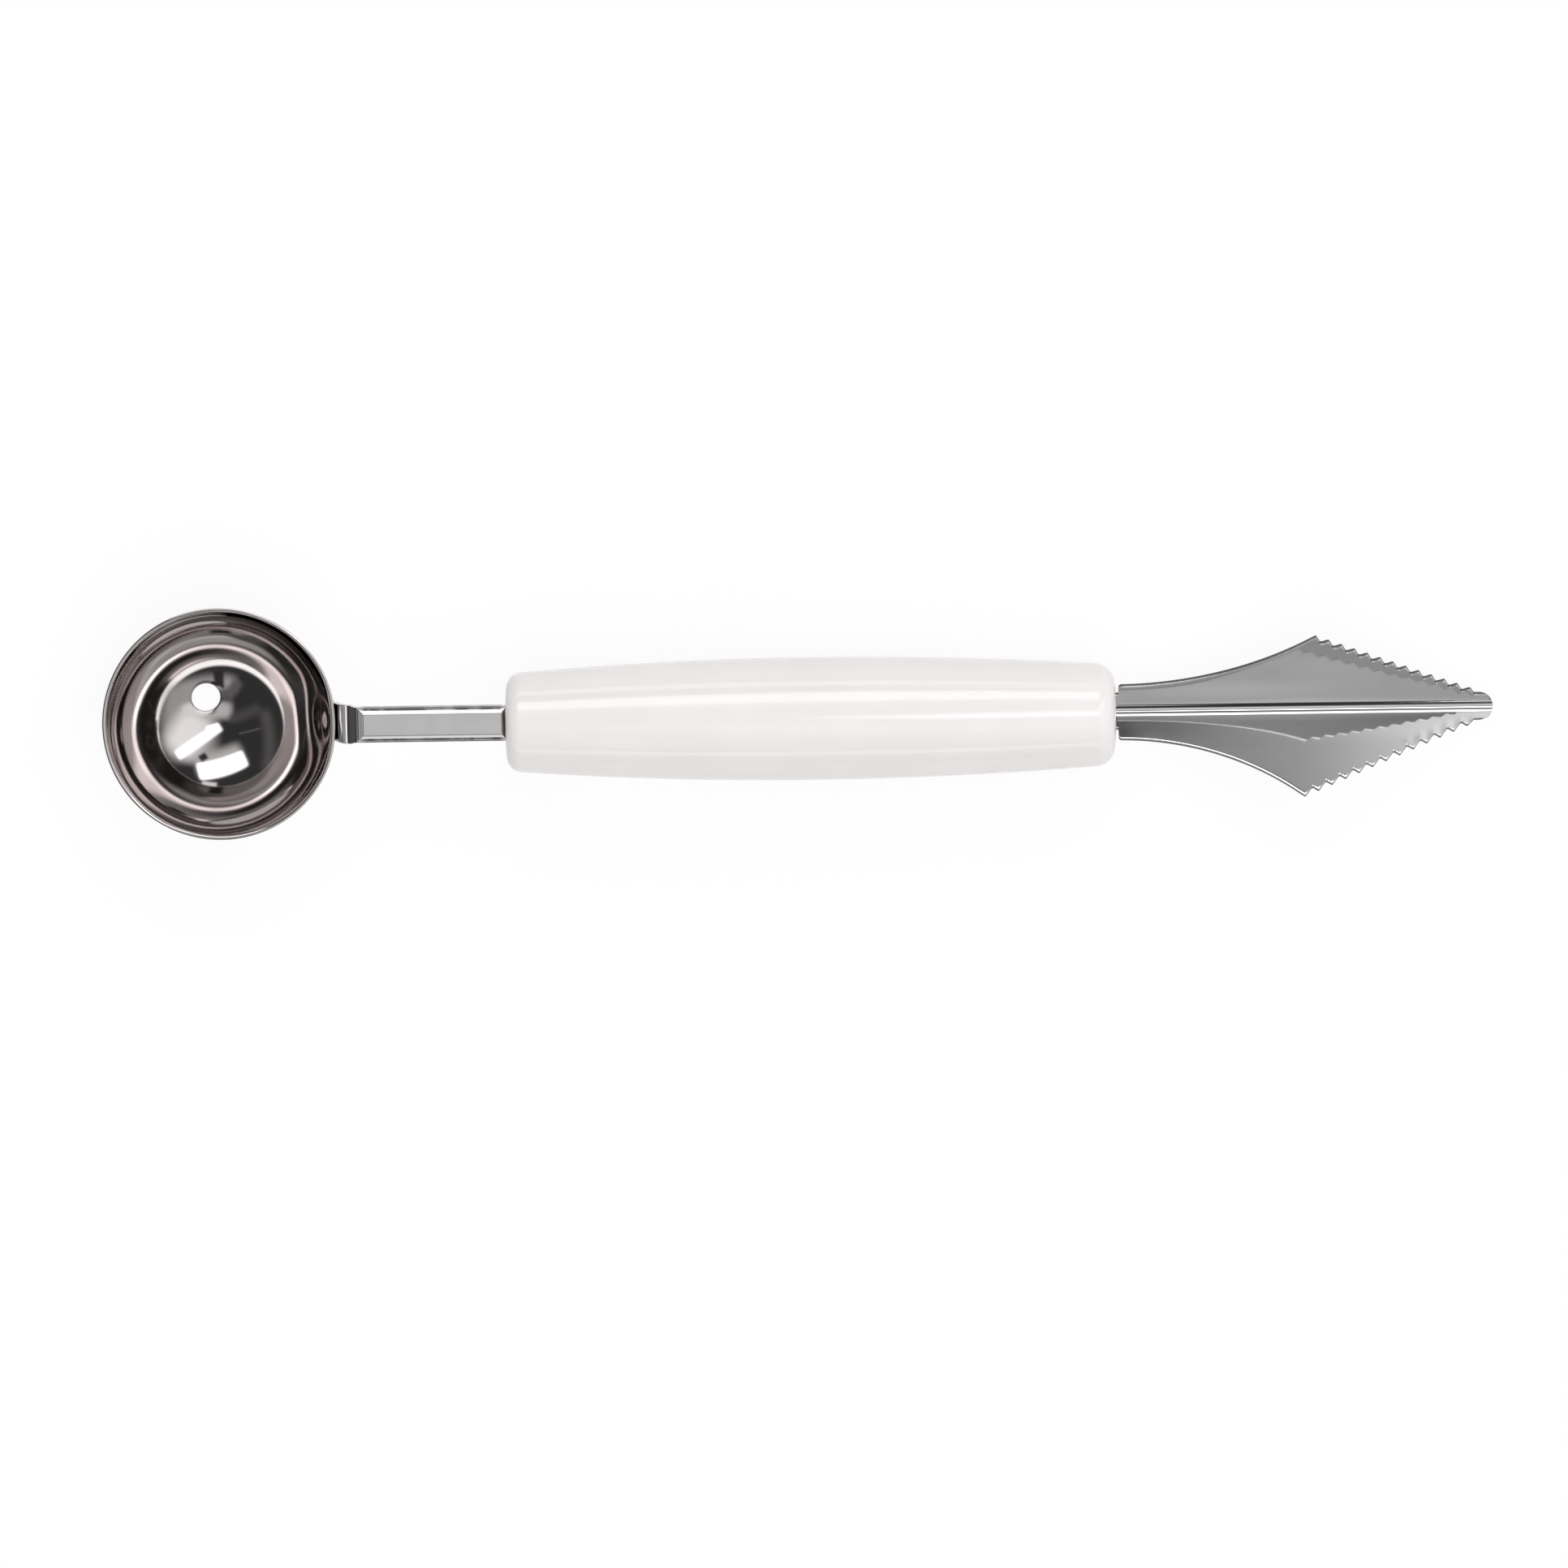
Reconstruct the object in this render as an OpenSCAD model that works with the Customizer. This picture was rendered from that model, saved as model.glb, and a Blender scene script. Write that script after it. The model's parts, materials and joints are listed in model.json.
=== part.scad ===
// Melon baller: a round scoop on a ribbed stem, a moulded barrel handle
// and a folded, saw-edged garnishing blade at the other end.
// Millimetres. +X runs along the tool from the bowl to the blade's nose,
// +Z points up out of the bowl's mouth and the blade's trough.
// The origin lies under the middle of the tool, at the height of the bowl's lowest point.

/* [Bowl] */
// Outside diameter of the bowl at its rim
rim_d = 30.4; // [25:0.1:36]
// Angle at the ball's centre from the bowl's lowest point to its rim
bowl_angle = 80; // [74:1:84]
// Thickness of the bowl's sheet
bowl_wall = 0.5; // [0.4:0.05:0.8]
// How far the plane of the rim lies below the handle's axis
rim_drop = 1.6; // [1.2:0.1:2.4]
// Diameter of the drain hole
drain_d = 3.7; // [2.5:0.1:5]
// Distance along the tool from the lowest point to the drain hole
drain_back = 2.6; // [1:0.1:4]
// Distance across the tool from the lowest point to the drain hole
drain_side = 1.9; // [0:0.1:3]
// Diameter of the pressed flat that the stem is welded to
flat_d = 7; // [6:0.1:8]
// Distance from the rim to the upper edge of that flat
flat_drop = 0.3; // [0.2:0.1:1]
// Diameter of a spot weld
weld_d = 2; // [1.4:0.1:2.4]
// Distance between the two spot welds
weld_pitch = 2.6; // [2.5:0.1:3.4]
// Depth of a spot weld in each of the two sheets
weld_depth = 0.25; // [0.15:0.05:0.3]

/* [Stem] */
// Length of the stem from the rim to the handle
stem_l = 22; // [15:0.1:40]
// Width of the strip
strip_w = 4.7; // [4.2:0.1:6]
// Thickness of the strip
strip_t = 0.8; // [0.6:0.05:1]
// Outside radius of the bend above the weld tab
bend_r = 3; // [1.8:0.1:3]
// How far the weld tab stands out past the strip on each side
flare = 0.2; // [0.1:0.1:0.9]
// Radius of the curve from the strip's edge out to the tab
flare_r = 3; // [2:0.1:5]
// Width of the flat top of the pressed rib
rib_w = 2.8; // [2:0.1:3]
// Height of the rib above the strip
rib_h = 0.5; // [0.3:0.05:0.6]
// Width of the rib's sloping sides
rib_side = 0.55; // [0.4:0.05:0.6]
// Length of the slope at the bowl's end of the rib
rib_front = 0.6; // [0.5:0.1:2]
// Length of the slope at the handle's end of the rib
rib_back = 0.5; // [0.3:0.1:2]
// Gap between the rib's foot and the handle
rib_gap = 0.1; // [0.05:0.05:1]
// Length of the stem's tang inside the handle
stem_tang_l = 28; // [20:1:32]

/* [Handle] */
// Length of the handle
handle_l = 78.5; // [72:0.1:110]
// Greatest diameter, at mid length
handle_d = 15.9; // [14.5:0.1:22]
// Diameter at the scoop's end
scoop_end_d = 12.6; // [11:0.1:14]
// Diameter at the blade's end
blade_end_d = 13; // [12:0.1:14]
// Radius of the edge at the scoop's end
scoop_edge_r = 2; // [0.6:0.1:2]
// Radius of the edge at the blade's end
blade_edge_r = 2.6; // [1:0.1:3]
// Room for adhesive all round a tang
glue_gap = 0.3; // [0.2:0.05:0.5]
// Depth of the adhesive's face behind the handle's end face
glue_recess = 0.8; // [0.4:0.1:2]
// Diameter of the key holes through the tangs
key_d = 1.8; // [1:0.1:2.2]

/* [Blade] */
// Length of the blade outside the handle
blade_l = 48.5; // [42:0.1:60]
// Gap between the handle and the blade's base
base_gap = 0.6; // [0.1:0.1:1]
// Thickness of the blade's sheet
blade_t = 0.6; // [0.4:0.05:0.8]
// Slope of each wing
wing_slope = 39.5; // [30:0.5:45]
// Inside radius of the fold
fold_r = 1.3; // [0.4:0.1:1.5]
// How far the fold lies below the handle's axis
fold_drop = 3.7; // [3:0.1:4.2]
// Width of a wing at its base, along its slope
base_w = 4.3; // [4:0.1:6]
// Radius of the corner at a wing's base
base_corner_r = 0.4; // [0.2:0.1:0.8]
// Greatest width of a wing, along its slope
wing_w = 13.2; // [10:0.1:16]
// Distance from the base to the wings' widest points
wing_at = 24.4; // [20:0.1:28]
// How far one wing's widest point lies ahead of that, and the other's behind
wing_skew = 0.7; // [0:0.1:1.5]
// Number of teeth on each wing
teeth = 13; // [8:1:15]
// Depth of a tooth below the line of the tips
tooth_h = 1; // [0.6:0.05:1.2]
// Radius of a tooth's tip
tip_r = 0.12; // [0.05:0.01:0.2]
// Radius of the gullet between teeth
gullet_r = 0.2; // [0.05:0.01:0.25]
// Half width of the nose, along a wing's slope
nose_w = 1.9; // [1.8:0.05:3]
// Straight edge between the last gullet and the nose's rounding
nose_flat = 0.55; // [0.3:0.05:1.5]
// Length of the blade's tang inside the handle
blade_tang_l = 26; // [20:1:32]
// Width of each side of the blade's tang, along its slope
blade_tang_w = 2.7; // [2.2:0.1:3.2]

/* [Hidden] */
$fn = 96;

// How far every cut runs past the face that it opens
overrun = 1;
// Share of a tooth's pitch that its side toward the nose takes, on the +Y wing and on the -Y wing
left_tooth_share = 0.37;
right_tooth_share = 0.54;
// Number of key holes in each tang
key_count = 3;
// Most of a side that the rounding of one of its corners may take, as a share
side_share = 0.45;
// Steps in a small rounding, in a bend and in half of the barrel
corner_steps = 3;
bend_steps = 12;
barrel_steps = 6;

// Places along the tool
half_l = (rim_d + stem_l + handle_l + base_gap + blade_l) / 2;
ball_x = rim_d / 2 - half_l;
scoop_end_x = rim_d + stem_l - half_l;
blade_end_x = scoop_end_x + handle_l;
base_x = blade_end_x + base_gap;
nose_x = half_l;

// The ball that the bowl is part of, and the heights that follow from it
ball_r = rim_d / 2 / sin(bowl_angle);
hollow_r = ball_r - bowl_wall;
ball_z = ball_r;
rim_z = ball_z - ball_r * cos(bowl_angle);
axis_z = rim_z + rim_drop;

// The welding flat: its distance from the ball's centre and how far its face looks down
flat_r = sqrt(pow(ball_r, 2) - pow(flat_d / 2, 2));
flat_tilt = 90 - bowl_angle + asin(flat_d / 2 / ball_r) + asin(flat_drop / ball_r);

// The bend of the stem touches the strip's top and the welding flat
strip_top = axis_z + strip_t / 2;
strip_under = axis_z - strip_t / 2;
tab_w = strip_w + 2 * flare;
bend_z = strip_top - bend_r;
bend_x = ball_x + (flat_r + bend_r + (bend_z - ball_z) * sin(flat_tilt)) / cos(flat_tilt);
flare_turn = acos((flare_r - flare) / flare_r);
stem_tang_x = scoop_end_x + stem_tang_l;

// The rib's sides slope at this angle, and the groove under it is this much smaller
rib_angle = atan2(rib_h, rib_side);
groove_inset = strip_t * tan(rib_angle / 2);

// The fold of the blade
fold_z = axis_z - fold_drop;
fold_centre_z = fold_z + fold_r;
fold_run = fold_r * tan(wing_slope);
fold_under = fold_z - blade_t;
nose_r = nose_w * cos(wing_slope) + blade_t * sin(wing_slope);
blade_tang_x = blade_end_x - blade_tang_l;
tang_reach_y = wing_point(fold_r + blade_t, blade_tang_w - fold_run, 1)[0];
tang_top_z = wing_point(fold_r, blade_tang_w - fold_run, 1)[1];

// Points of an arc
function arc(centre, r, from, to, steps) =
    [for (i = [0:steps]) centre + r * [cos(from + (to - from) * i / steps), sin(from + (to - from) * i / steps)]];

function unit(v) = v / norm(v);

// The rounding that takes the place of corner b between its neighbours a and c
function rounding(a, b, c, r, steps) =
    let (
        u = unit(a - b),
        v = unit(c - b),
        half = acos(u * v) / 2,
        fit_r = min(r, side_share * min(norm(a - b), norm(c - b)) * tan(half)),
        centre = b + unit(u + v) * fit_r / sin(half),
        first = b + u * fit_r / tan(half) - centre,
        last = b + v * fit_r / tan(half) - centre,
        from = atan2(first[1], first[0]),
        turn = (atan2(last[1], last[0]) - from + 540) % 360 - 180
    )
    arc(centre, fit_r, from, from + turn, steps);

// A point of the blade's section: this deep under the fold's centre,
// this far up the wing from the end of the fold, on this side
function wing_point(depth, up, side) = [
    side * (depth * sin(wing_slope) + up * cos(wing_slope)),
    fold_centre_z - depth * cos(wing_slope) + up * sin(wing_slope)
];

// Turns a drawing of X and Z into a plate, this wide across the tool
module side_plate(w) rotate([90, 0, 0]) linear_extrude(height = w, center = true) children();

// Turns a drawing of Y and Z into a bar along the tool
module bar(from, to) translate([from, 0, 0]) rotate([90, 0, 90]) linear_extrude(height = to - from) children();

// A box between two corners
module block(low, high) translate(low) cube(high - low);

// Stands at the ball's centre with Z square to the welding flat and X down the tab
module at_flat() translate([ball_x, 0, ball_z]) rotate([0, 90 + flat_tilt, 0]) children();

// All that lies further out than this from the ball's centre, beyond the welding flat
module beyond_flat(from) at_flat() block([-ball_r, -ball_r, from], [ball_r, ball_r, ball_r + overrun]);

module weld_nuggets()
    at_flat()
        for (side = [-1, 1])
            translate([side * weld_pitch / 2, 0, flat_r - weld_depth])
                cylinder(d = weld_d, h = 2 * weld_depth);

module drain_hole() {
    off = norm([drain_back, drain_side]);
    translate([ball_x, 0, ball_z])
        rotate([0, 180 - asin(off / ball_r), atan2(drain_side, -drain_back)])
            translate([0, 0, hollow_r - overrun])
                cylinder(d = drain_d, h = bowl_wall + 2 * overrun);
}

module scoop_bowl() {
    reach = ball_r + overrun;
    color("lightslategray")
        difference() {
            translate([ball_x, 0, ball_z]) sphere(r = ball_r);
            difference() {
                translate([ball_x, 0, ball_z]) sphere(r = hollow_r);
                beyond_flat(flat_r - bowl_wall);
            }
            beyond_flat(flat_r);
            block([ball_x - reach, -reach, rim_z], [ball_x + reach, reach, ball_z + reach]);
            drain_hole();
            weld_nuggets();
        }
}

module spot_welds() color("dimgray") weld_nuggets();

// Side view of the strip: flat tang and stem, bend, and tab as far as the flat's middle
module strip_side() {
    down = [-sin(flat_tilt), -cos(flat_tilt)];
    out = [cos(flat_tilt), -sin(flat_tilt)];
    middle = [ball_x, ball_z] + flat_r * out;
    polygon(concat(
        [[stem_tang_x, strip_top]],
        arc([bend_x, bend_z], bend_r, 90, 180 - flat_tilt, bend_steps),
        [middle, middle + strip_t * out],
        arc([bend_x, bend_z], bend_r - strip_t, 180 - flat_tilt, 90, bend_steps),
        [[stem_tang_x, strip_under]]
    ));
}

// Plan of the strip: parallel sides that flare out to the tab
module strip_plan() {
    edge = concat(
        [[stem_tang_x + overrun, strip_w / 2]],
        arc([bend_x, strip_w / 2 + flare_r], flare_r, 270, 270 - flare_turn, bend_steps),
        [[ball_x, tab_w / 2]]
    );
    other_edge = [for (i = [len(edge) - 1:-1:0]) [edge[i][0], -edge[i][1]]];
    polygon(concat(edge, other_edge));
}

// The rib's form over this level, this much smaller all round, with its foot down at foot_z
module rib_form(level, inset, foot_z) {
    foot_y = rib_w / 2 + rib_side - inset;
    top_y = rib_w / 2 - inset;
    from_x = bend_x + inset;
    to_x = scoop_end_x - rib_gap - inset;
    intersection() {
        bar(from_x, to_x)
            polygon([
                [-foot_y, foot_z],
                [-foot_y, level],
                [-top_y, level + rib_h],
                [top_y, level + rib_h],
                [foot_y, level],
                [foot_y, foot_z]
            ]);
        side_plate(strip_w)
            polygon([
                [from_x, foot_z],
                [from_x, level],
                [from_x + rib_front, level + rib_h],
                [to_x - rib_back, level + rib_h],
                [to_x, level],
                [to_x, foot_z]
            ]);
    }
}

// Key holes evenly along a tang, from the handle's end face to the tang's end
module key_holes(face_x, tang_x)
    for (i = [1:key_count])
        translate([face_x + (tang_x - face_x) * i / (key_count + 1), 0, fold_under - overrun])
            cylinder(d = key_d, h = strip_top - fold_under + 2 * overrun);

module stem_solid() {
    difference() {
        union() {
            intersection() {
                side_plate(tab_w + 2 * overrun) strip_side();
                linear_extrude(height = strip_top + overrun) strip_plan();
            }
            at_flat() translate([0, 0, flat_r]) cylinder(d = tab_w, h = strip_t);
            rib_form(strip_top, 0, axis_z);
        }
        rib_form(strip_under, groove_inset, strip_under - overrun);
        key_holes(scoop_end_x, stem_tang_x);
        weld_nuggets();
    }
}

module scoop_stem() color("silver") stem_solid();

// Radius of the barrel's own curve at this place, before its edges are rounded
function barrel_point(x) =
    let (
        middle_x = (scoop_end_x + blade_end_x) / 2,
        end_r = (x < middle_x ? scoop_end_d : blade_end_d) / 2,
        swell = handle_d / 2 - end_r,
        curve_r = (pow(handle_l / 2, 2) + pow(swell, 2)) / (2 * swell)
    )
    [handle_d / 2 - curve_r + sqrt(pow(curve_r, 2) - pow(x - middle_x, 2)), x];

// Half section of the barrel, by radius and place
module barrel_section() {
    step = handle_l / (2 * barrel_steps);
    curve = [for (i = [0:2 * barrel_steps]) barrel_point(scoop_end_x + i * step)];
    last = len(curve) - 1;
    polygon(concat(
        [[0, scoop_end_x]],
        rounding([0, scoop_end_x], curve[0], curve[1], scoop_edge_r, bend_steps),
        [for (i = [1:last - 1]) curve[i]],
        rounding(curve[last - 1], curve[last], [0, blade_end_x], blade_edge_r, bend_steps),
        [[0, blade_end_x]]
    ));
}

// The hollow round the stem's tang, open past this face
module stem_pocket(face_x)
    block(
        [face_x, -strip_w / 2 - glue_gap, strip_under - glue_gap],
        [stem_tang_x + glue_gap, strip_w / 2 + glue_gap, strip_top + glue_gap]
    );

// The hollow round the blade's tang, open past this face
module blade_pocket(face_x)
    block(
        [blade_tang_x - glue_gap, -tang_reach_y - glue_gap, fold_under - glue_gap],
        [face_x, tang_reach_y + glue_gap, tang_top_z + glue_gap]
    );

module handle_grip() {
    color("whitesmoke")
        difference() {
            translate([0, 0, axis_z]) rotate([0, 90, 0]) rotate_extrude() barrel_section();
            stem_pocket(scoop_end_x - overrun);
            blade_pocket(blade_end_x + overrun);
        }
}

// Section of the folded sheet, wide enough for the widest wing
module fold_section() {
    up = wing_w;
    outside_r = fold_r + blade_t;
    polygon(concat(
        [wing_point(fold_r, up, 1)],
        arc([0, fold_centre_z], fold_r, 270 + wing_slope, 270 - wing_slope, bend_steps),
        [wing_point(fold_r, up, -1), wing_point(outside_r, up, -1)],
        arc([0, fold_centre_z], outside_r, 270 - wing_slope, 270 + wing_slope, bend_steps),
        [wing_point(outside_r, up, 1)]
    ));
}

// The concave shoulder from the base to the widest point, an arc that leaves the base straight
function shoulder(wide) =
    let (
        run = wide[0] - base_x,
        rise = wide[1] - base_w,
        r = (pow(run, 2) + pow(rise, 2)) / (2 * rise)
    )
    arc([base_x, base_w + r], r, 270, 270 + asin(run / r), bend_steps);

// Tips and gullets from the widest point to the nose, rounded
function saw_edge(before, wide, tooth_share) =
    let (
        foot = [nose_x - nose_r - nose_flat, nose_w],
        last_x = ((teeth - 1) * foot[0] + tooth_share * wide[0]) / (teeth - 1 + tooth_share),
        step = ([last_x, nose_w + tooth_h] - wide) / (teeth - 1),
        drop = [tooth_share * step[0], tooth_share * step[1] - tooth_h],
        corners = concat(
            [before],
            [for (i = [0:teeth - 1]) each [wide + i * step, i < teeth - 1 ? wide + i * step + drop : foot]],
            [[nose_x + overrun, nose_w]]
        )
    )
    [
        for (i = [1:len(corners) - 2])
            each rounding(corners[i - 1], corners[i], corners[i + 1], i % 2 == 1 ? tip_r : gullet_r, corner_steps)
    ];

// All of the flat sheet that is cut away from one wing, by place along and width up the slope
module wing_waste(side) {
    wide = [base_x + wing_at + side * wing_skew, wing_w];
    neck = shoulder(wide);
    far_w = wing_w + 2 * overrun;
    polygon(concat(
        [[blade_tang_x - overrun, blade_tang_w], [base_x, blade_tang_w]],
        rounding([base_x, blade_tang_w], [base_x, base_w], neck[1], base_corner_r, corner_steps),
        [for (i = [1:len(neck) - 2]) neck[i]],
        saw_edge(neck[len(neck) - 2], wide, side > 0 ? left_tooth_share : right_tooth_share),
        [[nose_x + overrun, nose_w], [nose_x + overrun, far_w], [blade_tang_x - overrun, far_w]]
    ));
}

// What is cut away round the nose, seen from above
module nose_waste() {
    far_y = nose_r + overrun;
    polygon(concat(
        arc([nose_x - nose_r, 0], nose_r, -90, 90, 2 * bend_steps),
        [[nose_x - nose_r, far_y], [nose_x + overrun, far_y], [nose_x + overrun, -far_y], [nose_x - nose_r, -far_y]]
    ));
}

module blade_solid() {
    vertex_z = fold_centre_z - fold_r / cos(wing_slope);
    difference() {
        bar(blade_tang_x, nose_x) fold_section();
        for (side = [-1, 1])
            mirror([0, side < 0 ? 1 : 0, 0])
                translate([0, 0, vertex_z])
                    rotate([wing_slope, 0, 0])
                        translate([0, 0, -blade_t - overrun])
                            linear_extrude(height = blade_t + 2 * overrun)
                                wing_waste(side);
        translate([0, 0, fold_under - overrun])
            linear_extrude(height = blade_t + wing_w + 2 * overrun)
                nose_waste();
        key_holes(blade_end_x, blade_tang_x);
    }
}

module v_blade() color("darkgray") blade_solid();

module stem_adhesive() {
    color("wheat")
        difference() {
            stem_pocket(scoop_end_x + glue_recess);
            stem_solid();
        }
}

module blade_adhesive() {
    color("wheat")
        difference() {
            blade_pocket(blade_end_x - glue_recess);
            blade_solid();
        }
}

scoop_bowl();
scoop_stem();
spot_welds();
handle_grip();
v_blade();
stem_adhesive();
blade_adhesive();
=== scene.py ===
"""Looks of a double-ended fruit tool: round scoop, ribbed stem, barrel handle and saw-edged folded blade.

Everything is in metres, in the frame of the solids: +X runs from the scoop to the blade's nose,
+Z points out of the scoop's mouth, and the scoop's lowest point lies at zero height.
"""
import json
import math

import bmesh
import bpy
import numpy as np
from mathutils import Matrix, Vector, kdtree


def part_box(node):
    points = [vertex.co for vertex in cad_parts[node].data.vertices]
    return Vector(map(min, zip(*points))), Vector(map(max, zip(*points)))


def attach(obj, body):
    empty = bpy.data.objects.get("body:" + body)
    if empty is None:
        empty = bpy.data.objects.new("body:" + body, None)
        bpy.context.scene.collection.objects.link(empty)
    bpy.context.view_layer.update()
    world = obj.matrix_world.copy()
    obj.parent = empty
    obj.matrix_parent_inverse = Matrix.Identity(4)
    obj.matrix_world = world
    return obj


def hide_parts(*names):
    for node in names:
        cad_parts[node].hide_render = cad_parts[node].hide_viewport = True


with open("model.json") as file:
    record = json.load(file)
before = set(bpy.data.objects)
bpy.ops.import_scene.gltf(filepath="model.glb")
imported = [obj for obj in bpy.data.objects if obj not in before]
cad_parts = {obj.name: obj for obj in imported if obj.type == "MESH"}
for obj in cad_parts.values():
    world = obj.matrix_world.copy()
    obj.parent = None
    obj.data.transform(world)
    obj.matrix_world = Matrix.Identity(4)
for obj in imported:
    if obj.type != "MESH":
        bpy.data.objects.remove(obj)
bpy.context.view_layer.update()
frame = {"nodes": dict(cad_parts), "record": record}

MM = 0.001
TINY = 1e-7
SHARP_ANGLE = 35.0

# Sheet and tool sizes that the boxes of the solids don't give
BOWL_WALL = 0.5 * MM
FLAT_D = 7.0 * MM
FLAT_DROP = 0.3 * MM
WELD_PITCH = 2.6 * MM
DRAIN_D = 3.7 * MM
STRIP_W = 4.7 * MM
STRIP_T = 0.8 * MM
BEND_R = 3.0 * MM
FLARE_R = 3.0 * MM
RIB_W = 2.8 * MM
RIB_H = 0.5 * MM
RIB_SIDE = 0.55 * MM
RIB_FRONT = 0.6 * MM
RIB_BACK = 0.5 * MM
RIB_GAP = 0.1 * MM
SCOOP_END_D = 12.6 * MM
BLADE_END_D = 13.0 * MM
SCOOP_EDGE_R = 2.0 * MM
BLADE_EDGE_R = 2.6 * MM
BASE_GAP = 0.6 * MM
BLADE_T = 0.6 * MM
WING_SLOPE = math.radians(39.5)
FOLD_R = 1.3 * MM
BASE_W = 4.3 * MM
BASE_CORNER_R = 0.4 * MM
WING_W = 13.2 * MM
WING_AT = 24.4 * MM
WING_SKEW = 0.7 * MM
TEETH = 13
TOOTH_H = 1.0 * MM
TIP_R = 0.12 * MM
GULLET_R = 0.2 * MM
STEEP_SHARES = {1: 0.37, -1: 0.54}
NOSE_W = 1.9 * MM
NOSE_FLAT = 0.55 * MM
BLADE_TANG_W = 2.7 * MM
KEY_D = 1.8 * MM
KEY_COUNT = 3

# Small roundings and marks that only the finish needs
SHEET_EDGE_R = 0.2 * MM
STRIP_EDGE_R = 0.14 * MM
FOLD_SOFTNESS = 0.1
INSIDE_DENT_SHARE = 1.6
INSIDE_MARK_SHARE = 0.4
ELECTRODE_R = 1.15 * MM
ELECTRODE_DEPTH = 0.07 * MM
CUT_EDGE = 0.06 * MM
POCKET_LIP = 0.18 * MM
WING_BOW = 0.03 * MM
TOOTH_REACH = 2.2 * MM

# Places that the frame gives
bowl_low, bowl_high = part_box("scoop_bowl")
stem_low, stem_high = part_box("scoop_stem")
grip_low, grip_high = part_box("handle_grip")
blade_low, blade_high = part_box("v_blade")
rim_r = (bowl_high.y - bowl_low.y) / 2
rim_z = bowl_high.z
ball_r = (rim_r**2 + rim_z**2) / (2 * rim_z)
ball = Vector(((bowl_low.x + bowl_high.x) / 2, 0.0, ball_r))
rim_angle = math.pi / 2 + math.asin((rim_z - ball_r) / ball_r)
axis_z = (grip_low.z + grip_high.z) / 2
scoop_end_x, blade_end_x = grip_low.x, grip_high.x
base_x = blade_end_x + BASE_GAP
nose_x = blade_high.x

# Heights between which painted shade comes in on the scoop's inside wall, and between which it fades out
# again under the rim
WALL_SHADE_HEIGHTS = 5.6 * MM, 6.3 * MM
RIM_SHADE_FADE_HEIGHTS = rim_z - 0.6 * MM, rim_z - 0.3 * MM

# The pressed flat under the stem, as a direction out of the ball
flat_r = math.sqrt(ball_r**2 - (FLAT_D / 2) ** 2)
flat_tilt = math.pi / 2 - rim_angle + math.asin(FLAT_D / 2 / ball_r) + math.asin(FLAT_DROP / ball_r)
flat_out = Vector((math.cos(flat_tilt), 0.0, -math.sin(flat_tilt)))
flat_down = Vector((-math.sin(flat_tilt), 0.0, -math.cos(flat_tilt)))

# The drain hole's axis points out of the ball through the mount's place
drain_mount = frame["record"]["mounts"][0]
drain_out = (Vector(drain_mount["pos_m"]) - ball).normalized()


def full_turn(count):
    """Angles evenly round a circle"""
    return np.linspace(0, 2 * math.pi, count + 1)[:-1]


def stations(stops, counts):
    """Places from the first stop to the last, evenly spaced between one stop and the next"""
    parts = [np.linspace(a, b, count)[:-1] for a, b, count in zip(stops, stops[1:], counts)]
    return np.concatenate(parts + [stops[-1:]])


def grid_faces(rows, columns, close_rows, start=0, flip=False):
    """Quads over a grid of points that are numbered row by row"""
    index = start + np.arange(rows * columns).reshape(rows, columns)
    if close_rows:
        index = np.vstack([index, index[:1]])
    corners = [index[:-1, :-1], index[1:, :-1], index[1:, 1:], index[:-1, 1:]]
    if flip:
        corners.reverse()
    return np.stack(corners, axis=-1).reshape(-1, 4)


def edge_strip(first, second, close):
    """Quads between two rows of point numbers"""
    if close:
        first = np.append(first, first[0])
        second = np.append(second, second[0])
    return np.stack([first[:-1], second[:-1], second[1:], first[1:]], axis=-1)


def new_object(name, data):
    """Object of this mesh, lamp or camera in the scene"""
    made = bpy.data.objects.new(name, data)
    bpy.context.scene.collection.objects.link(made)
    return made


def shade(mesh, sharp_angle=SHARP_ANGLE):
    """Smooth shading, with sharp edges past this angle in degrees"""
    mesh.shade_smooth()
    mesh.set_sharp_from_angle(angle=math.radians(sharp_angle))


def evaluated_mesh(piece):
    """Plain mesh of a piece with its modifiers applied"""
    bpy.context.view_layer.update()
    return bpy.data.meshes.new_from_object(piece.evaluated_get(bpy.context.evaluated_depsgraph_get()))


def make_piece(name, points, faces, sharp_angle=SHARP_ANGLE):
    """A smooth-shaded mesh piece: doubles merged, faces outwards, sharp only past this angle"""
    mesh = bpy.data.meshes.new(name)
    faces = faces.tolist() if isinstance(faces, np.ndarray) else faces
    mesh.from_pydata(np.asarray(points).reshape(-1, 3).tolist(), [], faces)
    form = bmesh.new()
    form.from_mesh(mesh)
    bmesh.ops.remove_doubles(form, verts=form.verts, dist=TINY)
    bmesh.ops.recalc_face_normals(form, faces=form.faces)
    if form.calc_volume(signed=True) < 0:
        bmesh.ops.reverse_faces(form, faces=form.faces)
    form.to_mesh(mesh)
    form.free()
    shade(mesh, sharp_angle)
    return new_object(name, mesh)


def sheet_solid(name, inner, outer, close_rows=False, sharp_angle=SHARP_ANGLE):
    """Closed shell between two grids of points that pair up"""
    rows, columns = inner.shape[:2]
    count = rows * columns
    index = np.arange(count).reshape(rows, columns)
    faces = [
        grid_faces(rows, columns, close_rows),
        grid_faces(rows, columns, close_rows, start=count, flip=True),
        edge_strip(index[:, 0], index[:, 0] + count, close_rows),
        edge_strip(index[:, -1] + count, index[:, -1], close_rows),
    ]
    if not close_rows:
        faces.append(edge_strip(index[0] + count, index[0], False))
        faces.append(edge_strip(index[-1], index[-1] + count, False))
    points = np.concatenate([inner.reshape(-1, 3), outer.reshape(-1, 3)])
    return make_piece(name, points, np.concatenate(faces), sharp_angle)


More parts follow.
